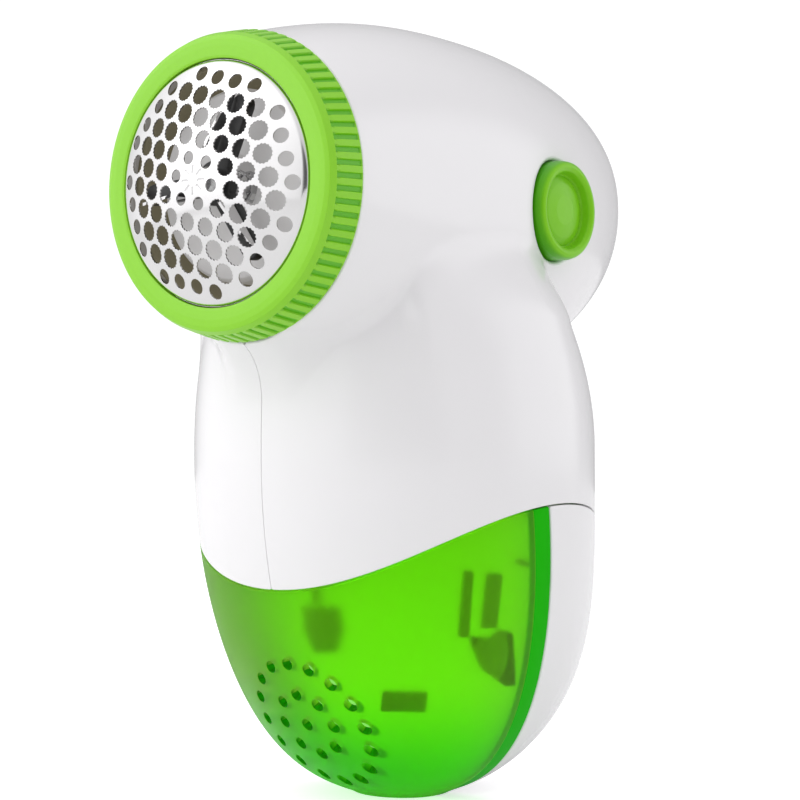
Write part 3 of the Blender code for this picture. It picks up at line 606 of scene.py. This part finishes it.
def ribbed_material():
    """The collar's satin lime, with painted shade between its ribs."""
    made = finish_material("ribbed_lime", (0.24, 0.62, 0.012), (0.26, 0.65, 0.016), (0.32, 0.40), 0.0008,
                           bump=0.004 * MM)
    nodes, links = made.node_tree.nodes, made.node_tree.links
    base = nodes["Principled BSDF"].inputs["Base Color"]
    depth = nodes.new("ShaderNodeAttribute")
    depth.attribute_name = "valley"
    # painted shade: the grooves between the bars are tinted a deeper lime
    share = ramp(nodes, links, depth.outputs["Fac"], 0.2, 1.0, 0.0, 1.0)
    links.new(tinted(nodes, links, share, source_of(base), (0.12, 0.50, 0.003), (0.13, 0.52, 0.005)), base)
    return made


# Painted shade along the container's rear edge, where the wall is seen edge-on: its width and soft edge.
BAND_WIDTH = 4.2 * MM
BAND_EDGE = 0.15 * MM
FLANK_SHADE = (-9.0 * MM, 22.0 * MM)       # where a shade begins along its direction, and its length
FOOT_SHADE = (-24.0 * MM, 20.0 * MM)
VENT_CLEAR = (10.0 * MM, 22.0 * MM)        # the frost thins from the second distance to the first
VENT_FROST = 0.62


def clear_material():
    """Frosted clear green, with painted shade on its left flank and foot, a deep painted shade along its rear edge
    and on its vent walls, and a painted glow.
    """
    made = finish_material("clear_green", (0.36, 0.93, 0.006), (0.40, 0.95, 0.008), (0.46, 0.54), 0.0003,
                           bump=0.004 * MM, Transmission_Weight=0.95, IOR=1.40, Specular_IOR_Level=0.12,
                           Specular_Tint=(0.45, 1.0, 0.10, 1.0), Emission_Color=(0.15, 0.60, 0.0, 1.0),
                           Emission_Strength=0.14)
    nodes, links = made.node_tree.nodes, made.node_tree.links
    sockets = nodes["Principled BSDF"].inputs
    toward = Vector((0.0, math.cos(DIVIDE_LEAN), math.sin(DIVIDE_LEAN)))
    offset = DIVIDE_BASE_Y * math.cos(DIVIDE_LEAN) - BAND_WIDTH
    band = position_mask(nodes, links, toward, offset, BAND_EDGE)
    flank = position_mask(nodes, links, Vector((-1.0, 0.0, 0.0)), *FLANK_SHADE)
    foot = position_mask(nodes, links, Vector((0.0, 0.0, -1.0)), *FOOT_SHADE)
    vent_wall_shade = nodes.new("ShaderNodeAttribute")
    vent_wall_shade.attribute_name = "vent_wall"
    colour = source_of(sockets["Base Color"])
    # painted shade: deeper greens on the left flank, the foot, the rear edge seen edge-on and the vent walls
    for mask, first, second in (
            (flank, (0.25, 0.56, 0.05), (0.29, 0.60, 0.06)),
            (foot, (0.04, 0.80, 0.0), (0.06, 0.82, 0.0)),
            (band, (0.0, 0.42, 0.0), (0.0, 0.44, 0.0)),
            (vent_wall_shade.outputs["Fac"], (0.0, 0.20, 0.0), (0.0, 0.16, 0.0))):
        colour = tinted(nodes, links, mask, colour, first, second)
    links.new(colour, sockets["Base Color"])
    # where the rear edge has its painted shade, little light passes through
    links.new(ramp(nodes, links, band, 0.0, 1.0, 0.95, 0.05), sockets["Transmission Weight"])
    # painted glow: the emission stands in for light coming through the plastic, weaker on the shaded flank and
    # foot
    glow = ramp(nodes, links, flank, 0.0, 1.0, 0.04, 0.02)
    dim = ramp(nodes, links, foot, 0.0, 1.0, 1.0, 0.7)
    links.new(multiplied(nodes, links, glow, dim), sockets["Emission Strength"])
    place = nodes.new("ShaderNodeTexCoord").outputs["Object"]
    away = distance_from(nodes, links, place, Vector((0.0, -HANDLE_FRONT * 0.72, VENT_Z)))
    frost = ramp(nodes, links, away, *VENT_CLEAR, VENT_FROST, 1.0)
    links.new(multiplied(nodes, links, source_of(sockets["Roughness"]), frost), sockets["Roughness"])
    return made


WHITE = finish_material("gloss_white", (0.84, 0.825, 0.84), (0.86, 0.845, 0.86), (0.14, 0.18), 0.03,
                        Coat_Weight=0.25, Coat_Roughness=0.06)
RIBBED_LIME = ribbed_material()
BUTTON_LIME = button_material()
CLEAR = clear_material()
# painted glow: the emission of the container's rear wall lightens the container's inside, standing in for light
# coming through it
BACKLIT = finish_material("backlit_green", (0.40, 0.95, 0.02), (0.44, 0.96, 0.03), (0.40, 0.50), 0.0005,
                          Transmission_Weight=0.3, IOR=1.40, Specular_IOR_Level=0.1,
                          Emission_Color=(0.80, 0.90, 0.75, 1.0), Emission_Strength=0.16)
# painted shadow: the dark sheets inside the container
PAINTED_SHADOW_GREEN = finish_material("painted_shadow_green", (0.014, 0.07, 0.0), (0.018, 0.09, 0.001), (0.4, 0.5), 0.002)
# painted glow: the emission lightens the chamber's pale face, seen through the foil
GLOWING_CHAMBER_FACE = finish_material("glowing_chamber_face", (0.50, 0.49, 0.49), (0.62, 0.61, 0.61), (0.25, 0.35), 0.006,
                               Emission_Color=(1.0, 0.98, 0.97, 1.0), Emission_Strength=0.15)
STEEL = finish_material("polished_steel", (0.72, 0.712, 0.712), (0.77, 0.762, 0.762), (0.08, 0.13), 0.004,
                        Metallic=1.0)
SPRING = finish_material("spring_steel", (0.55, 0.55, 0.56), (0.66, 0.66, 0.66), (0.20, 0.30), 0.001,
                         Metallic=1.0)
MOTOR = finish_material("plated_steel", (0.60, 0.60, 0.60), (0.70, 0.70, 0.69), (0.22, 0.34), 0.002,
                        bump=0.002 * MM, Metallic=1.0)
BRASS = finish_material("brass", (0.66, 0.48, 0.20), (0.75, 0.57, 0.28), (0.20, 0.32), 0.001, Metallic=1.0)
BLACK = finish_material("black_plastic", (0.010, 0.010, 0.010), (0.022, 0.022, 0.022), (0.30, 0.45), 0.001,
                        bump=0.004 * MM)
GREY = finish_material("grey_plastic", (0.62, 0.62, 0.62), (0.68, 0.68, 0.68), (0.32, 0.42), 0.001,
                       bump=0.004 * MM)
# The chamber's wall, dark taupe, with a painted glow: its faint emission lightens the deep chamber.
GLOWING_TAUPE = finish_material("glowing_taupe", (0.19, 0.165, 0.105), (0.23, 0.20, 0.14), (0.35, 0.5), 0.001,
                        Emission_Color=(0.9, 0.82, 0.5, 1.0), Emission_Strength=0.05)
INNER_WHITE = finish_material("white_plastic", (0.74, 0.74, 0.74), (0.80, 0.80, 0.80), (0.35, 0.5), 0.001,
                              bump=0.004 * MM)
JACKET = finish_material("cell_jacket", (0.05, 0.07, 0.10), (0.08, 0.10, 0.14), (0.22, 0.30), 0.01)
RED = finish_material("red_sleeve", (0.45, 0.01, 0.01), (0.55, 0.02, 0.02), (0.40, 0.5), 0.002)

NODE_LOOKS = {
    "gloss_white": WHITE, "clear_green": CLEAR, "lime_satin": BUTTON_LIME, "polished_steel": STEEL,
    "spring_steel": SPRING, "grey_plastic": GREY, "white_plastic": INNER_WHITE, "black_plastic": BLACK,
    "motor_shell": MOTOR, "cell_jacket": JACKET, "brass": BRASS, "red_sleeve": RED, "black_sleeve": BLACK,
}


def paint_nodes():
    slots = {entry["node"]: entry["material_slot"] for entry in frame["record"]["subparts"]}
    for name, node in frame["nodes"].items():
        paint(node, NODE_LOOKS[slots[name]])


def place_piece(piece, body, slot, look, *nodes):
    paint(piece, look)
    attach(piece, body)
    if nodes:
        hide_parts(*nodes)


# ---------------------------------------------------------------- shells

def make_shells():
    fused = rough_form()
    points = np.array([v.co for v in fused.vertices])
    points = settle(form_value, points, steps=10)
    fused.vertices.foreach_set("co", points.astype(np.float32).ravel())
    seam, parting, edge = (0.03 * MM, 0.12 * MM), (0.12 * MM, 0.25 * MM), (0.1 * MM, 0.35 * MM)
    mouth = (past_mouth, 0.0, 0.5 * MM)
    left = shell("shell_left", fused, form_value,
                 [(right_of_seam, *seam), (below_parting, *parting), mouth], WALL)
    right = shell("shell_right", fused, form_value,
                  [(left_of_seam, *seam), (below_parting, *parting), mouth,
                   (in_button_hole, 0.0, 0.8 * MM)], BUTTON_WALL)
    tub = shell("lint_tub", fused, form_value,
                [(above_parting, *parting), (behind_divide, *edge), (in_vents, 0.0, 0.2 * MM)],
                WALL, refine=in_vents)
    cover = shell("rear_cover", fused, form_value,
                  [(above_parting, *parting), (ahead_of_divide, *edge)], WALL)
    place_piece(left, "body", "gloss_white", WHITE, "left_housing")
    place_piece(right, "body", "gloss_white", WHITE, "right_housing")
    mark_vent_walls(tub.data)
    place_piece(tub, "container", "clear_green", CLEAR, "lint_container")
    tub.visible_shadow = False
    place_piece(cover, "cover", "gloss_white", WHITE, "battery_cover")
    make_tub_back()
    for number, shadow_entry in enumerate(TUB_SHADOW_SHEETS, 1):
        make_shadow_sheet("tub_shadow_%d" % number, *shadow_entry)


def mark_vent_walls(mesh):
    """Stores which points lie on the walls of the vents, for the painted shade on them."""
    points = np.array([v.co for v in mesh.vertices])
    wall = mesh.attributes.new("vent_wall", "FLOAT", "POINT")
    wall.data.foreach_set("value", eased((in_vents(points) + 0.12 * MM) / (0.10 * MM)).astype(np.float32))


def make_tub_back():
    """The container's flat rear wall, along the divide."""
    span = 84.0 * MM
    count = 84
    line = (np.arange(count + 1) / count - 0.5) * span
    right, up = np.meshgrid(line, line)
    right, up = right.ravel(), up.ravel() + 30.0 * MM
    start = np.array([0.0, DIVIDE_BASE_Y - BACK_SETBACK, 0.0])
    slope = np.array([0.0, -math.sin(DIVIDE_LEAN), math.cos(DIVIDE_LEAN)])
    points = start + right[:, None] * np.array([1.0, 0.0, 0.0]) + up[:, None] * slope
    mesh = bpy.data.meshes.new("tub_back")
    faces = [tuple(reversed(face)) for face in grid_faces(count + 1, count + 1, closed=False)]
    mesh.from_pydata([tuple(p) for p in points], [], faces)
    wall = shell("tub_back", mesh, behind_divide_wall,
                 [(form_value, 1.2 * MM, 0.1 * MM), (above_parting, 0.6 * MM, 0.2 * MM)], 1.4 * MM)
    place_piece(wall, "container", "clear_green", BACKLIT)
    wall.visible_shadow = False


def behind_divide_wall(points):
    return behind_divide(points) + BACK_SETBACK * math.cos(DIVIDE_LEAN)


# Dark sheets just inside the container's wall, painted shadows of the parts behind it: azimuth, height, inset of
# the face, outline (along, up).
TUB_SHADOW_SHEETS = (
    (39.0, 18.4, 2.2, ((-3.8, -1.7), (3.6, -1.9), (3.9, 1.6), (-3.6, 1.8))),
    (58.0, 35.6, 2.0, ((-0.9, -5.6), (0.8, -5.6), (0.7, 5.6), (-0.8, 5.8))),
    (66.6, 36.0, 2.0, ((-1.4, -4.6), (1.3, -4.6), (1.4, 4.6), (-1.3, 4.8))),
    (69.5, 26.1, 2.0, ((-5.0, 4.0), (-4.4, 2.2), (-1.5, -2.2), (3.6, -5.4), (5.7, -5.4), (3.1, 4.2),
                       (0.6, 4.9), (-0.9, 3.4))),
    (77.0, 42.1, 2.0, ((-1.2, 0.2), (1.2, -0.5), (1.2, 0.4), (-1.1, 0.9))),
    (11.0, 30.0, 4.6, ((-2.4, -4.2), (1.8, -4.0), (3.4, -0.5), (3.4, 4.0), (-3.2, 4.0), (-3.4, -0.5))),
    (13.0, 38.5, 4.6, ((-2.0, -3.6), (-0.9, -3.6), (-0.9, 3.6), (-2.0, 3.6))),
)


def slab(name, corners, along, flat_only, sharp):
    """A flat outline given thickness along a vector, its edges softened; flat_only spares its corners."""
    work = bmesh.new()
    face = work.faces.new([work.verts.new(corner) for corner in corners])
    made = bmesh.ops.extrude_face_region(work, geom=[face])
    moved = [v for v in made["geom"] if isinstance(v, bmesh.types.BMVert)]
    bmesh.ops.translate(work, verts=moved, vec=along)
    bmesh.ops.recalc_face_normals(work, faces=work.faces)
    edges = list(work.edges)
    if flat_only:
        edges = [e for e in edges if abs(e.verts[0].co.y - e.verts[1].co.y) < 1e-6]
    bmesh.ops.bevel(work, geom=edges, offset=0.25 * MM, segments=3, affect="EDGES", profile=0.5)
    mesh = bpy.data.meshes.new(name)
    work.to_mesh(mesh)
    work.free()
    mesh.shade_smooth()
    mesh.set_sharp_from_angle(angle=math.radians(sharp))
    return new_object(name, mesh)


SHADOW_SHEET_THICKNESS = 1.2 * MM


def make_shadow_sheet(name, azimuth, height, inset, outline):
    """A dark flat sheet just inside the container's wall, with softened edges: a painted shadow of the parts
    behind it.
    """
    angle = math.radians(azimuth)
    start = np.array([[0.0, HANDLE_Y, height * MM]])
    outward = np.array([[math.sin(angle), -math.cos(angle), 0.0]])
    place = shoot(start, outward, form_value)
    normal = Vector(unit(gradient(form_value, place))[0])
    across = Vector((math.cos(angle), math.sin(angle), 0.0))
    upward = normal.cross(across).normalized()
    centre = Vector(place[0]) - normal * inset * MM
    corners = [centre + across * u * MM + upward * v * MM for u, v in outline]
    shadow_sheet = slab(name, corners, -normal * SHADOW_SHEET_THICKNESS, False, 40.0)
    place_piece(shadow_sheet, "container", "clear_green", PAINTED_SHADOW_GREEN)


# ---------------------------------------------------------------- turned pieces

def rounded_outline(corners, steps=5):
    """Points along an outline of (u, v, radius) corners, each rounded by its radius."""
    route = []
    for i, (u, v, radius) in enumerate(corners):
        here = np.array([u, v])
        if radius <= 0 or i in (0, len(corners) - 1):
            route.append(here)
            continue
        before = np.array(corners[i - 1][:2]) - here
        after = np.array(corners[i + 1][:2]) - here
        before_unit, after_unit = before / np.linalg.norm(before), after / np.linalg.norm(after)
        cosine = np.clip(before_unit @ after_unit, -0.9999, 0.9999)
        half = math.acos(cosine) / 2
        reach = min(radius / math.tan(half), 0.49 * np.linalg.norm(before), 0.49 * np.linalg.norm(after))
        start, end = here + before_unit * reach, here + after_unit * reach
        for k in range(steps + 1):
            t = k / steps
            route.append((1 - t) ** 2 * start + 2 * t * (1 - t) * here + t ** 2 * end)
    return np.array(route)


def turned(name, outline, columns, place, closed=True, relief=None):
    """Turns (radius, along) points; place maps (right, up, along) to the frame. relief adds to the radius."""
    angles = np.arange(columns) * 2 * math.pi / columns
    count = len(outline)
    radius = np.repeat(outline[:, 0], columns)
    along = np.repeat(outline[:, 1], columns)
    turn = np.tile(angles, count)
    if relief is not None:
        radius = radius + relief(turn, radius, along)
    points = place(radius * np.sin(turn), radius * np.cos(turn), along)
    faces = grid_faces(count, columns)
    if closed:
        last = (count - 1) * columns
        for j in range(columns):
            k = (j + 1) % columns
            faces.append((last + j, last + k, k, j))
    work = bmesh.new()
    verts = [work.verts.new(p) for p in points]
    for face in faces:
        work.faces.new([verts[i] for i in face])
    bmesh.ops.remove_doubles(work, verts=work.verts, dist=0.002 * MM)
    bmesh.ops.recalc_face_normals(work, faces=work.faces)
    mesh = bpy.data.meshes.new(name)
    work.to_mesh(mesh)
    work.free()
    mesh.shade_smooth()
    mesh.set_sharp_from_angle(angle=math.radians(50.0))
    return new_object(name, mesh)


def about_head(right, up, forward):
    """The head's axis: forward runs towards -Y from the frame's origin."""
    return np.stack([right, -forward, AXIS_Z + up], 1)


def about_button(right, up, along):
    return np.stack([along, BUTTON_CENTRE.y + right, BUTTON_CENTRE.z + up], 1)


RIB_COUNT = 76
RIB_DEPTH = 0.45 * MM
RIB_COLUMNS = 12
COLLAR_OUTLINE = (          # radius, depth behind the front, rounding, in millimetres
    (20.3, 2.2, 0.0), (20.3, 0.15, 0.12), (20.7, 0.03, 0.4), (22.3, 0.0, 3.0), (23.4, 0.1, 0.6),
    (24.15, 0.4, 0.15), (24.7, 1.5, 0.3), (25.15, 3.5, 2.0), (25.8, 6.6, 0.3), (25.6, 6.9, 0.2),
    (22.0, 6.9, 0.3), (21.6, 2.4, 0.3), (20.3, 2.2, 0.0),
)


def subdivided(outline, step):
    """The same outline with points no further apart than step."""
    route = []
    for a, b in zip(outline, outline[1:]):
        count = max(1, math.ceil(np.linalg.norm(b - a) / step))
        route += [a + (b - a) * k / count for k in range(count)]
    return np.array(route)


def rib_relief(turn, radius, along):
    """Grooves cut into the collar between flat bars with steep flanks and rounded front ends."""
    start, end = -COLLAR_LOW.y - 1.5 * MM, -COLLAR_HIGH.y + 0.12 * MM
    phase = (turn * RIB_COUNT / (2 * math.pi)) % 1.0
    side = 0.5 - np.abs(phase - 0.5)
    rise = np.clip((start - along) / (0.5 * MM), 0.0, 1.0)
    width = 0.29 - 0.09 * np.sqrt(np.maximum(0.0, 1 - rise ** 2))
    between = 1 - eased((side - (0.5 - width) + 0.045) / 0.09)
    front = eased(rise * 2.0)
    rear = eased((along - end) / (0.25 * MM))
    return -RIB_DEPTH * between * front * rear * (radius > 24.0 * MM)


def make_collar():
    front = -COLLAR_LOW.y
    corners = [(radius * MM, front - depth * MM, round_ * MM) for radius, depth, round_ in COLLAR_OUTLINE]
    outline = subdivided(rounded_outline(corners, 5), 0.3 * MM)
    ring = turned("collar", outline, RIB_COUNT * RIB_COLUMNS, about_head, relief=rib_relief)
    mark_valleys(ring.data)
    place_piece(ring, "collar", "lime_satin", RIBBED_LIME, "collar_ring")


def mark_valleys(mesh):
    """Stores how deep each point lies between the bars, for the painted shade in the collar's grooves."""
    points = np.array([v.co for v in mesh.vertices])
    right, up, along = points[:, 0], points[:, 2] - AXIS_Z, -points[:, 1]
    raised = rib_relief(np.arctan2(right, up), np.hypot(right, up) + RIB_DEPTH, along)
    depth = mesh.attributes.new("valley", "FLOAT", "POINT")
    depth.data.foreach_set("value", (-raised / RIB_DEPTH).astype(np.float32))


BUTTON_OUTLINE = (          # radius, distance in front of the rim, rounding, in millimetres
    (0.0, -1.1, 0.0), (2.6, -1.16, 2.0), (4.9, -1.55, 2.0), (6.1, -1.95, 0.4), (6.35, -2.15, 0.12),
    (6.6, -1.7, 0.2), (6.85, -0.45, 0.7), (7.65, 0.1, 1.0), (8.55, -0.35, 0.9), (8.85, -1.6, 0.9),
    (8.85, -5.2, 0.3), (10.4, -5.25, 0.3), (10.4, -6.3, 0.3), (0.0, -6.3, 0.0),
)


def make_button():
    rim = BUTTON_HIGH.x
    corners = [(radius * MM, rim + ahead * MM, round_ * MM) for radius, ahead, round_ in BUTTON_OUTLINE]
    outline = subdivided(rounded_outline(corners, 7), 0.3 * MM)
    button = turned("push_button", outline, 144, about_button, closed=False)
    place_piece(button, "button", "lime_satin", BUTTON_LIME, "power_button")


# ---------------------------------------------------------------- foil

def dome_forward(radius):
    """How far forward the foil stands; its edge rolls over into the skirt."""
    centre = -FOIL_LOW.y - FOIL_SPHERE
    forward = centre + np.sqrt(FOIL_SPHERE ** 2 - np.minimum(radius, FOIL_RADIUS) ** 2)
    roll = 0.8 * MM
    past = np.clip((radius - (FOIL_RADIUS - roll)) / roll, 0.0, 1.0)
    return forward - roll * (1 - np.sqrt(np.maximum(0.0, 1 - past ** 2.2)))


def foil_forward(right, up):
    """The dome with eight short strokes struck into its middle."""
    radius = np.hypot(right, up)
    angle = np.arctan2(up, right)
    beat = np.abs(((angle / (math.pi / 4) + 0.5) % 1.0) - 0.5) * (math.pi / 4) * radius
    stroke = np.exp(-(beat / STROKE_WIDTH) ** 2)
    span = eased(4 * (1.0 - np.abs(radius - STROKE_MIDDLE) / STROKE_HALF))
    return dome_forward(radius) - STROKE_DEPTH * stroke * span


def hole_places():
    """Lattice places (right, up, radius, teeth) of the foil's holes, ring by ring."""
    for ring in range(1, 6):
        for edge in range(6):
            start = HOLE_TURN - edge * math.pi / 3
            along = start - 2 * math.pi / 3
            for step in range(ring):
                if ring == 5 and step == 0:
                    continue
                right = HOLE_PITCH * (ring * math.cos(start) + step * math.cos(along))
                up = HOLE_PITCH * (ring * math.sin(start) + step * math.sin(along))
                yield right, up, HOLE_RADII[ring - 1], HOLE_TEETH[ring - 1]


def foil_value(points):
    return -points[:, 1] - foil_forward(points[:, 0], points[:, 2] - AXIS_Z)


def in_foil_holes(points):
    """Positive inside a hole; the punched edges of the larger ones are finely toothed."""
    right, up = points[:, 0], points[:, 2] - AXIS_Z
    best = np.full(len(points), -1.0)
    for x, z, size, teeth in hole_places():
        away = np.hypot(right - x, up - z)
        near = away < size + 0.5 * MM
        angle = np.arctan2(up[near] - z, right[near] - x)
        scallop = np.abs(np.sin(8 * angle))
        best[near] = np.maximum(best[near], size * (1.0 + teeth * (scallop - 0.5)) - away[near])
    return best


def past_foil_edge(points):
    return np.hypot(points[:, 0], points[:, 2] - AXIS_Z) - FOIL_RADIUS


def make_foil():
    count = int(2 * (FOIL_RADIUS + 0.5 * MM) / FOIL_SPACING)
    line = (np.arange(count + 1) - count / 2) * FOIL_SPACING
    right, up = np.meshgrid(line, line)
    right, up = right.ravel(), up.ravel()
    points = np.stack([right, -foil_forward(right, up), AXIS_Z + up], 1)
    mesh = bpy.data.meshes.new("foil_sheet")
    mesh.from_pydata([tuple(p) for p in points], [], grid_faces(count + 1, count + 1, closed=False))
    foil = shell("foil", mesh, foil_value,
                 [(past_foil_edge, 0.0, 0.02 * MM), (in_foil_holes, 0.0, 0.04 * MM)], FOIL_SHEET)
    place_piece(foil, "collar", "polished_steel", STEEL, "shaving_foil")
    foil.visible_shadow = False
    edge = float(dome_forward(np.array([FOIL_RADIUS - 0.02 * MM]))[0])
    skirt = rounded_outline([
        (FOIL_RADIUS, edge, 0), (FOIL_RADIUS, edge - 2.0 * MM, 0),
        (FOIL_RADIUS - 0.3 * MM, edge - 2.0 * MM, 0), (FOIL_RADIUS - 0.3 * MM, edge, 0),
    ])
    band = turned("foil_skirt", skirt, 180, about_head)
    place_piece(band, "collar", "polished_steel", STEEL)


# ---------------------------------------------------------------- cutter and chamber

CUTTER_TURN = math.radians(65.0)   # where the first arm rests
PLATE_STAND = 11.3 * MM            # how far the pale inner face stands in front of the chamber's floor


def make_chamber():
    low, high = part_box("cutter_chamber")
    rear = -high.y
    floor = rear + 1.5 * MM
    wall = rounded_outline([
        (17.2 * MM, floor - 0.2 * MM, 0), (18.3 * MM, floor + 0.6 * MM, 0.8 * MM),
        (19.4 * MM, floor + 6.0 * MM, 0.5 * MM), (19.4 * MM, -low.y - 1.2 * MM, 0.4 * MM),
        (20.8 * MM, -low.y - 1.2 * MM, 0.4 * MM), (20.8 * MM, rear, 0.4 * MM), (17.2 * MM, rear, 0),
        (17.2 * MM, floor - 0.2 * MM, 0),
    ])
    rim = turned("chamber_wall", wall, 144, about_head)
    place_piece(rim, "body", "grey_plastic", GLOWING_TAUPE, "cutter_chamber")
    face = floor + PLATE_STAND
    base = rounded_outline([
        (5.0 * MM, rear + 0.1 * MM, 0), (5.0 * MM, face, 0.3 * MM), (15.4 * MM, face, 0.5 * MM),
        (16.0 * MM, face - 0.7 * MM, 0.4 * MM), (16.3 * MM, rear + 0.1 * MM, 0),
        (5.0 * MM, rear + 0.1 * MM, 0),
    ])
    disc = turned("chamber_floor", subdivided(base, 0.8 * MM), 144, about_head)
    place_piece(disc, "body", "grey_plastic", GLOWING_CHAMBER_FACE)


def make_cutter():
    """The cutter's black carrier: three slim arms that grow out of a round hub."""
    low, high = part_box("cutter_carrier")
    front = low.y + 1.05 * MM
    corners = []
    for number in range(3):
        for x, z in arm_outline(CUTTER_TURN + 2 * math.pi / 3 * number):
            corners.append((x, front, AXIS_Z + z))
    arms = slab("cutter_arms", corners, (0.0, high.y - front, 0.0), True, 35.0)
    place_piece(arms, "cutter", "black_plastic", BLACK, "cutter_carrier")


def arm_outline(centre):
    """Half a hub gap, out along one arm, round its tip and back, as (x, z) about the axis."""
    hub, half, reach = 3.7 * MM, 1.75 * MM, 15.3 * MM
    spread = math.asin(half / hub)
    gap = math.pi / 3
    polar = [(hub, -gap + (gap - spread) * k / 6) for k in range(7)]
    for k in range(9):
        turn = -math.pi / 2 + math.pi * k / 8
        across, along = half * math.sin(turn), reach - half + half * math.cos(turn)
        polar.append((math.hypot(across, along), math.atan2(across, along)))
    polar += [(hub, spread + (gap - spread) * k / 6) for k in range(6)]
    return [(radius * math.cos(centre + turn), radius * math.sin(centre + turn)) for radius, turn in polar]


# ---------------------------------------------------------------- stage, light, camera

AIM = Vector((0.0, HANDLE_Y, 70.13 * MM))
AZIMUTH = 37.62
ELEVATION = -0.26
DISTANCE = 408.0 * MM
SENSOR_WIDTH = 36.0
FOCAL_LENGTH = 102.19


def heading(azimuth, elevation):
    """The direction from the object; azimuth in degrees from -Y towards +X."""
    a, e = math.radians(azimuth), math.radians(elevation)
    return Vector((math.sin(a) * math.cos(e), -math.cos(a) * math.cos(e), math.sin(e)))


def aim_from(holder, azimuth, elevation, distance):
    back = heading(azimuth, elevation)
    holder.location = AIM + back * distance
    holder.rotation_euler = back.to_track_quat("Z", "Y").to_euler()
    bpy.context.scene.collection.objects.link(holder)


def make_camera():
    lens = bpy.data.cameras.new("camera")
    lens.sensor_width = SENSOR_WIDTH
    lens.lens = FOCAL_LENGTH
    lens.clip_start, lens.clip_end = 0.01, 20.0
    camera = bpy.data.objects.new("camera", lens)
    aim_from(camera, AZIMUTH, ELEVATION, DISTANCE)
    bpy.context.scene.camera = camera


def area_light(name, azimuth, elevation, distance, size, power):
    """A soft white light on a sphere round the object; azimuth as for the camera."""
    light = bpy.data.lights.new(name, "AREA")
    light.shape = "RECTANGLE"
    light.size, light.size_y = size
    light.energy = power
    aim_from(bpy.data.objects.new(name, light), azimuth, elevation, distance)


# Soft panels of the studio as the object meets them: azimuth, elevation, cosines of rim and core, gain.
PANELS = (
    (-38.0, 12.0, 0.15, 0.95, 0.66),
    (136.0, 8.0, 0.84, 0.96, 0.90),
    (30.0, 80.0, 0.30, 0.95, 0.34),
    (43.0, -2.0, 0.84, 0.92, -0.52),
    (212.0, 15.0, 0.60, 0.92, -0.20),
)
ROOM = 0.64


def room_brightness(nodes, links):
    """The studio's brightness by direction: an even room plus its soft panels."""
    toward = nodes.new("ShaderNodeTexCoord").outputs["Generated"]
    total = None
    for azimuth, elevation, rim, core, gain in PANELS:
        facing = dot_along(nodes, links, toward, heading(azimuth, elevation))
        summed = nodes.new("ShaderNodeMath")
        summed.operation = "ADD"
        links.new(ramp(nodes, links, facing, rim, core, 0.0, gain), summed.inputs[0])
        if total is None:
            summed.inputs[1].default_value = ROOM
        else:
            links.new(total, summed.inputs[1])
        total = summed.outputs["Value"]
    return total


def make_world():
    world = bpy.data.worlds.new("studio")
    bpy.context.scene.world = world
    world.use_nodes = True
    nodes, links = world.node_tree.nodes, world.node_tree.links
    room = nodes["Background"]
    room.inputs["Color"].default_value = (1.0, 1.0, 1.01, 1.0)
    links.new(room_brightness(nodes, links), room.inputs["Strength"])
    backdrop = nodes.new("ShaderNodeBackground")
    backdrop.inputs["Color"].default_value = (1.0, 1.0, 1.0, 1.0)
    backdrop.inputs["Strength"].default_value = 1.1
    path = nodes.new("ShaderNodeLightPath")
    choose = nodes.new("ShaderNodeMixShader")
    links.new(path.outputs["Is Camera Ray"], choose.inputs["Fac"])
    links.new(room.outputs["Background"], choose.inputs[1])
    links.new(backdrop.outputs["Background"], choose.inputs[2])
    links.new(choose.outputs["Shader"], nodes["World Output"].inputs["Surface"])


FLOOR_Z = -0.05 * MM
FLOOR_GLOW = (0.05, 0.55)       # towards the object, and as the camera sees it


def make_floor():
    """A pale disc that glows a little, so that it meets the backdrop without a line."""
    steps = 96
    turns = np.arange(steps) * 2 * math.pi / steps
    rings = []
    for radius in (0.0, 0.05, 0.25, 0.6, 1.5):
        reach = max(radius, 0.001)
        height = np.full(steps, FLOOR_Z)
        rings.append(np.stack([reach * np.sin(turns), -reach * np.cos(turns), height], 1))
    faces = grid_faces(len(rings), steps) + [tuple(reversed(range(steps)))]
    faces = [tuple(reversed(face)) for face in faces]
    floor = new_object("floor", smooth_mesh("floor", np.concatenate(rings), faces))
    look = finish_material("pale_floor", (0.86, 0.86, 0.86), (0.88, 0.88, 0.88), (0.8, 0.9), 0.05,
                           Emission_Color=(1.0, 1.0, 1.0, 1.0), Specular_IOR_Level=0.1)
    nodes, links = look.node_tree.nodes, look.node_tree.links
    seen = nodes.new("ShaderNodeLightPath").outputs["Is Camera Ray"]
    glow = ramp(nodes, links, seen, 0.0, 1.0, *FLOOR_GLOW)
    links.new(glow, nodes["Principled BSDF"].inputs["Emission Strength"])
    paint(floor, look)


def make_stage():
    make_world()
    make_floor()
    view = bpy.context.scene.view_settings
    view.view_transform = "Standard"
    view.look = "None"
    area_light("key", -40.0, 30.0, 0.9, (0.7, 0.9), 1.3)


paint_nodes()
make_camera()
make_stage()
make_shells()
make_collar()
make_button()
make_foil()
make_chamber()
make_cutter()
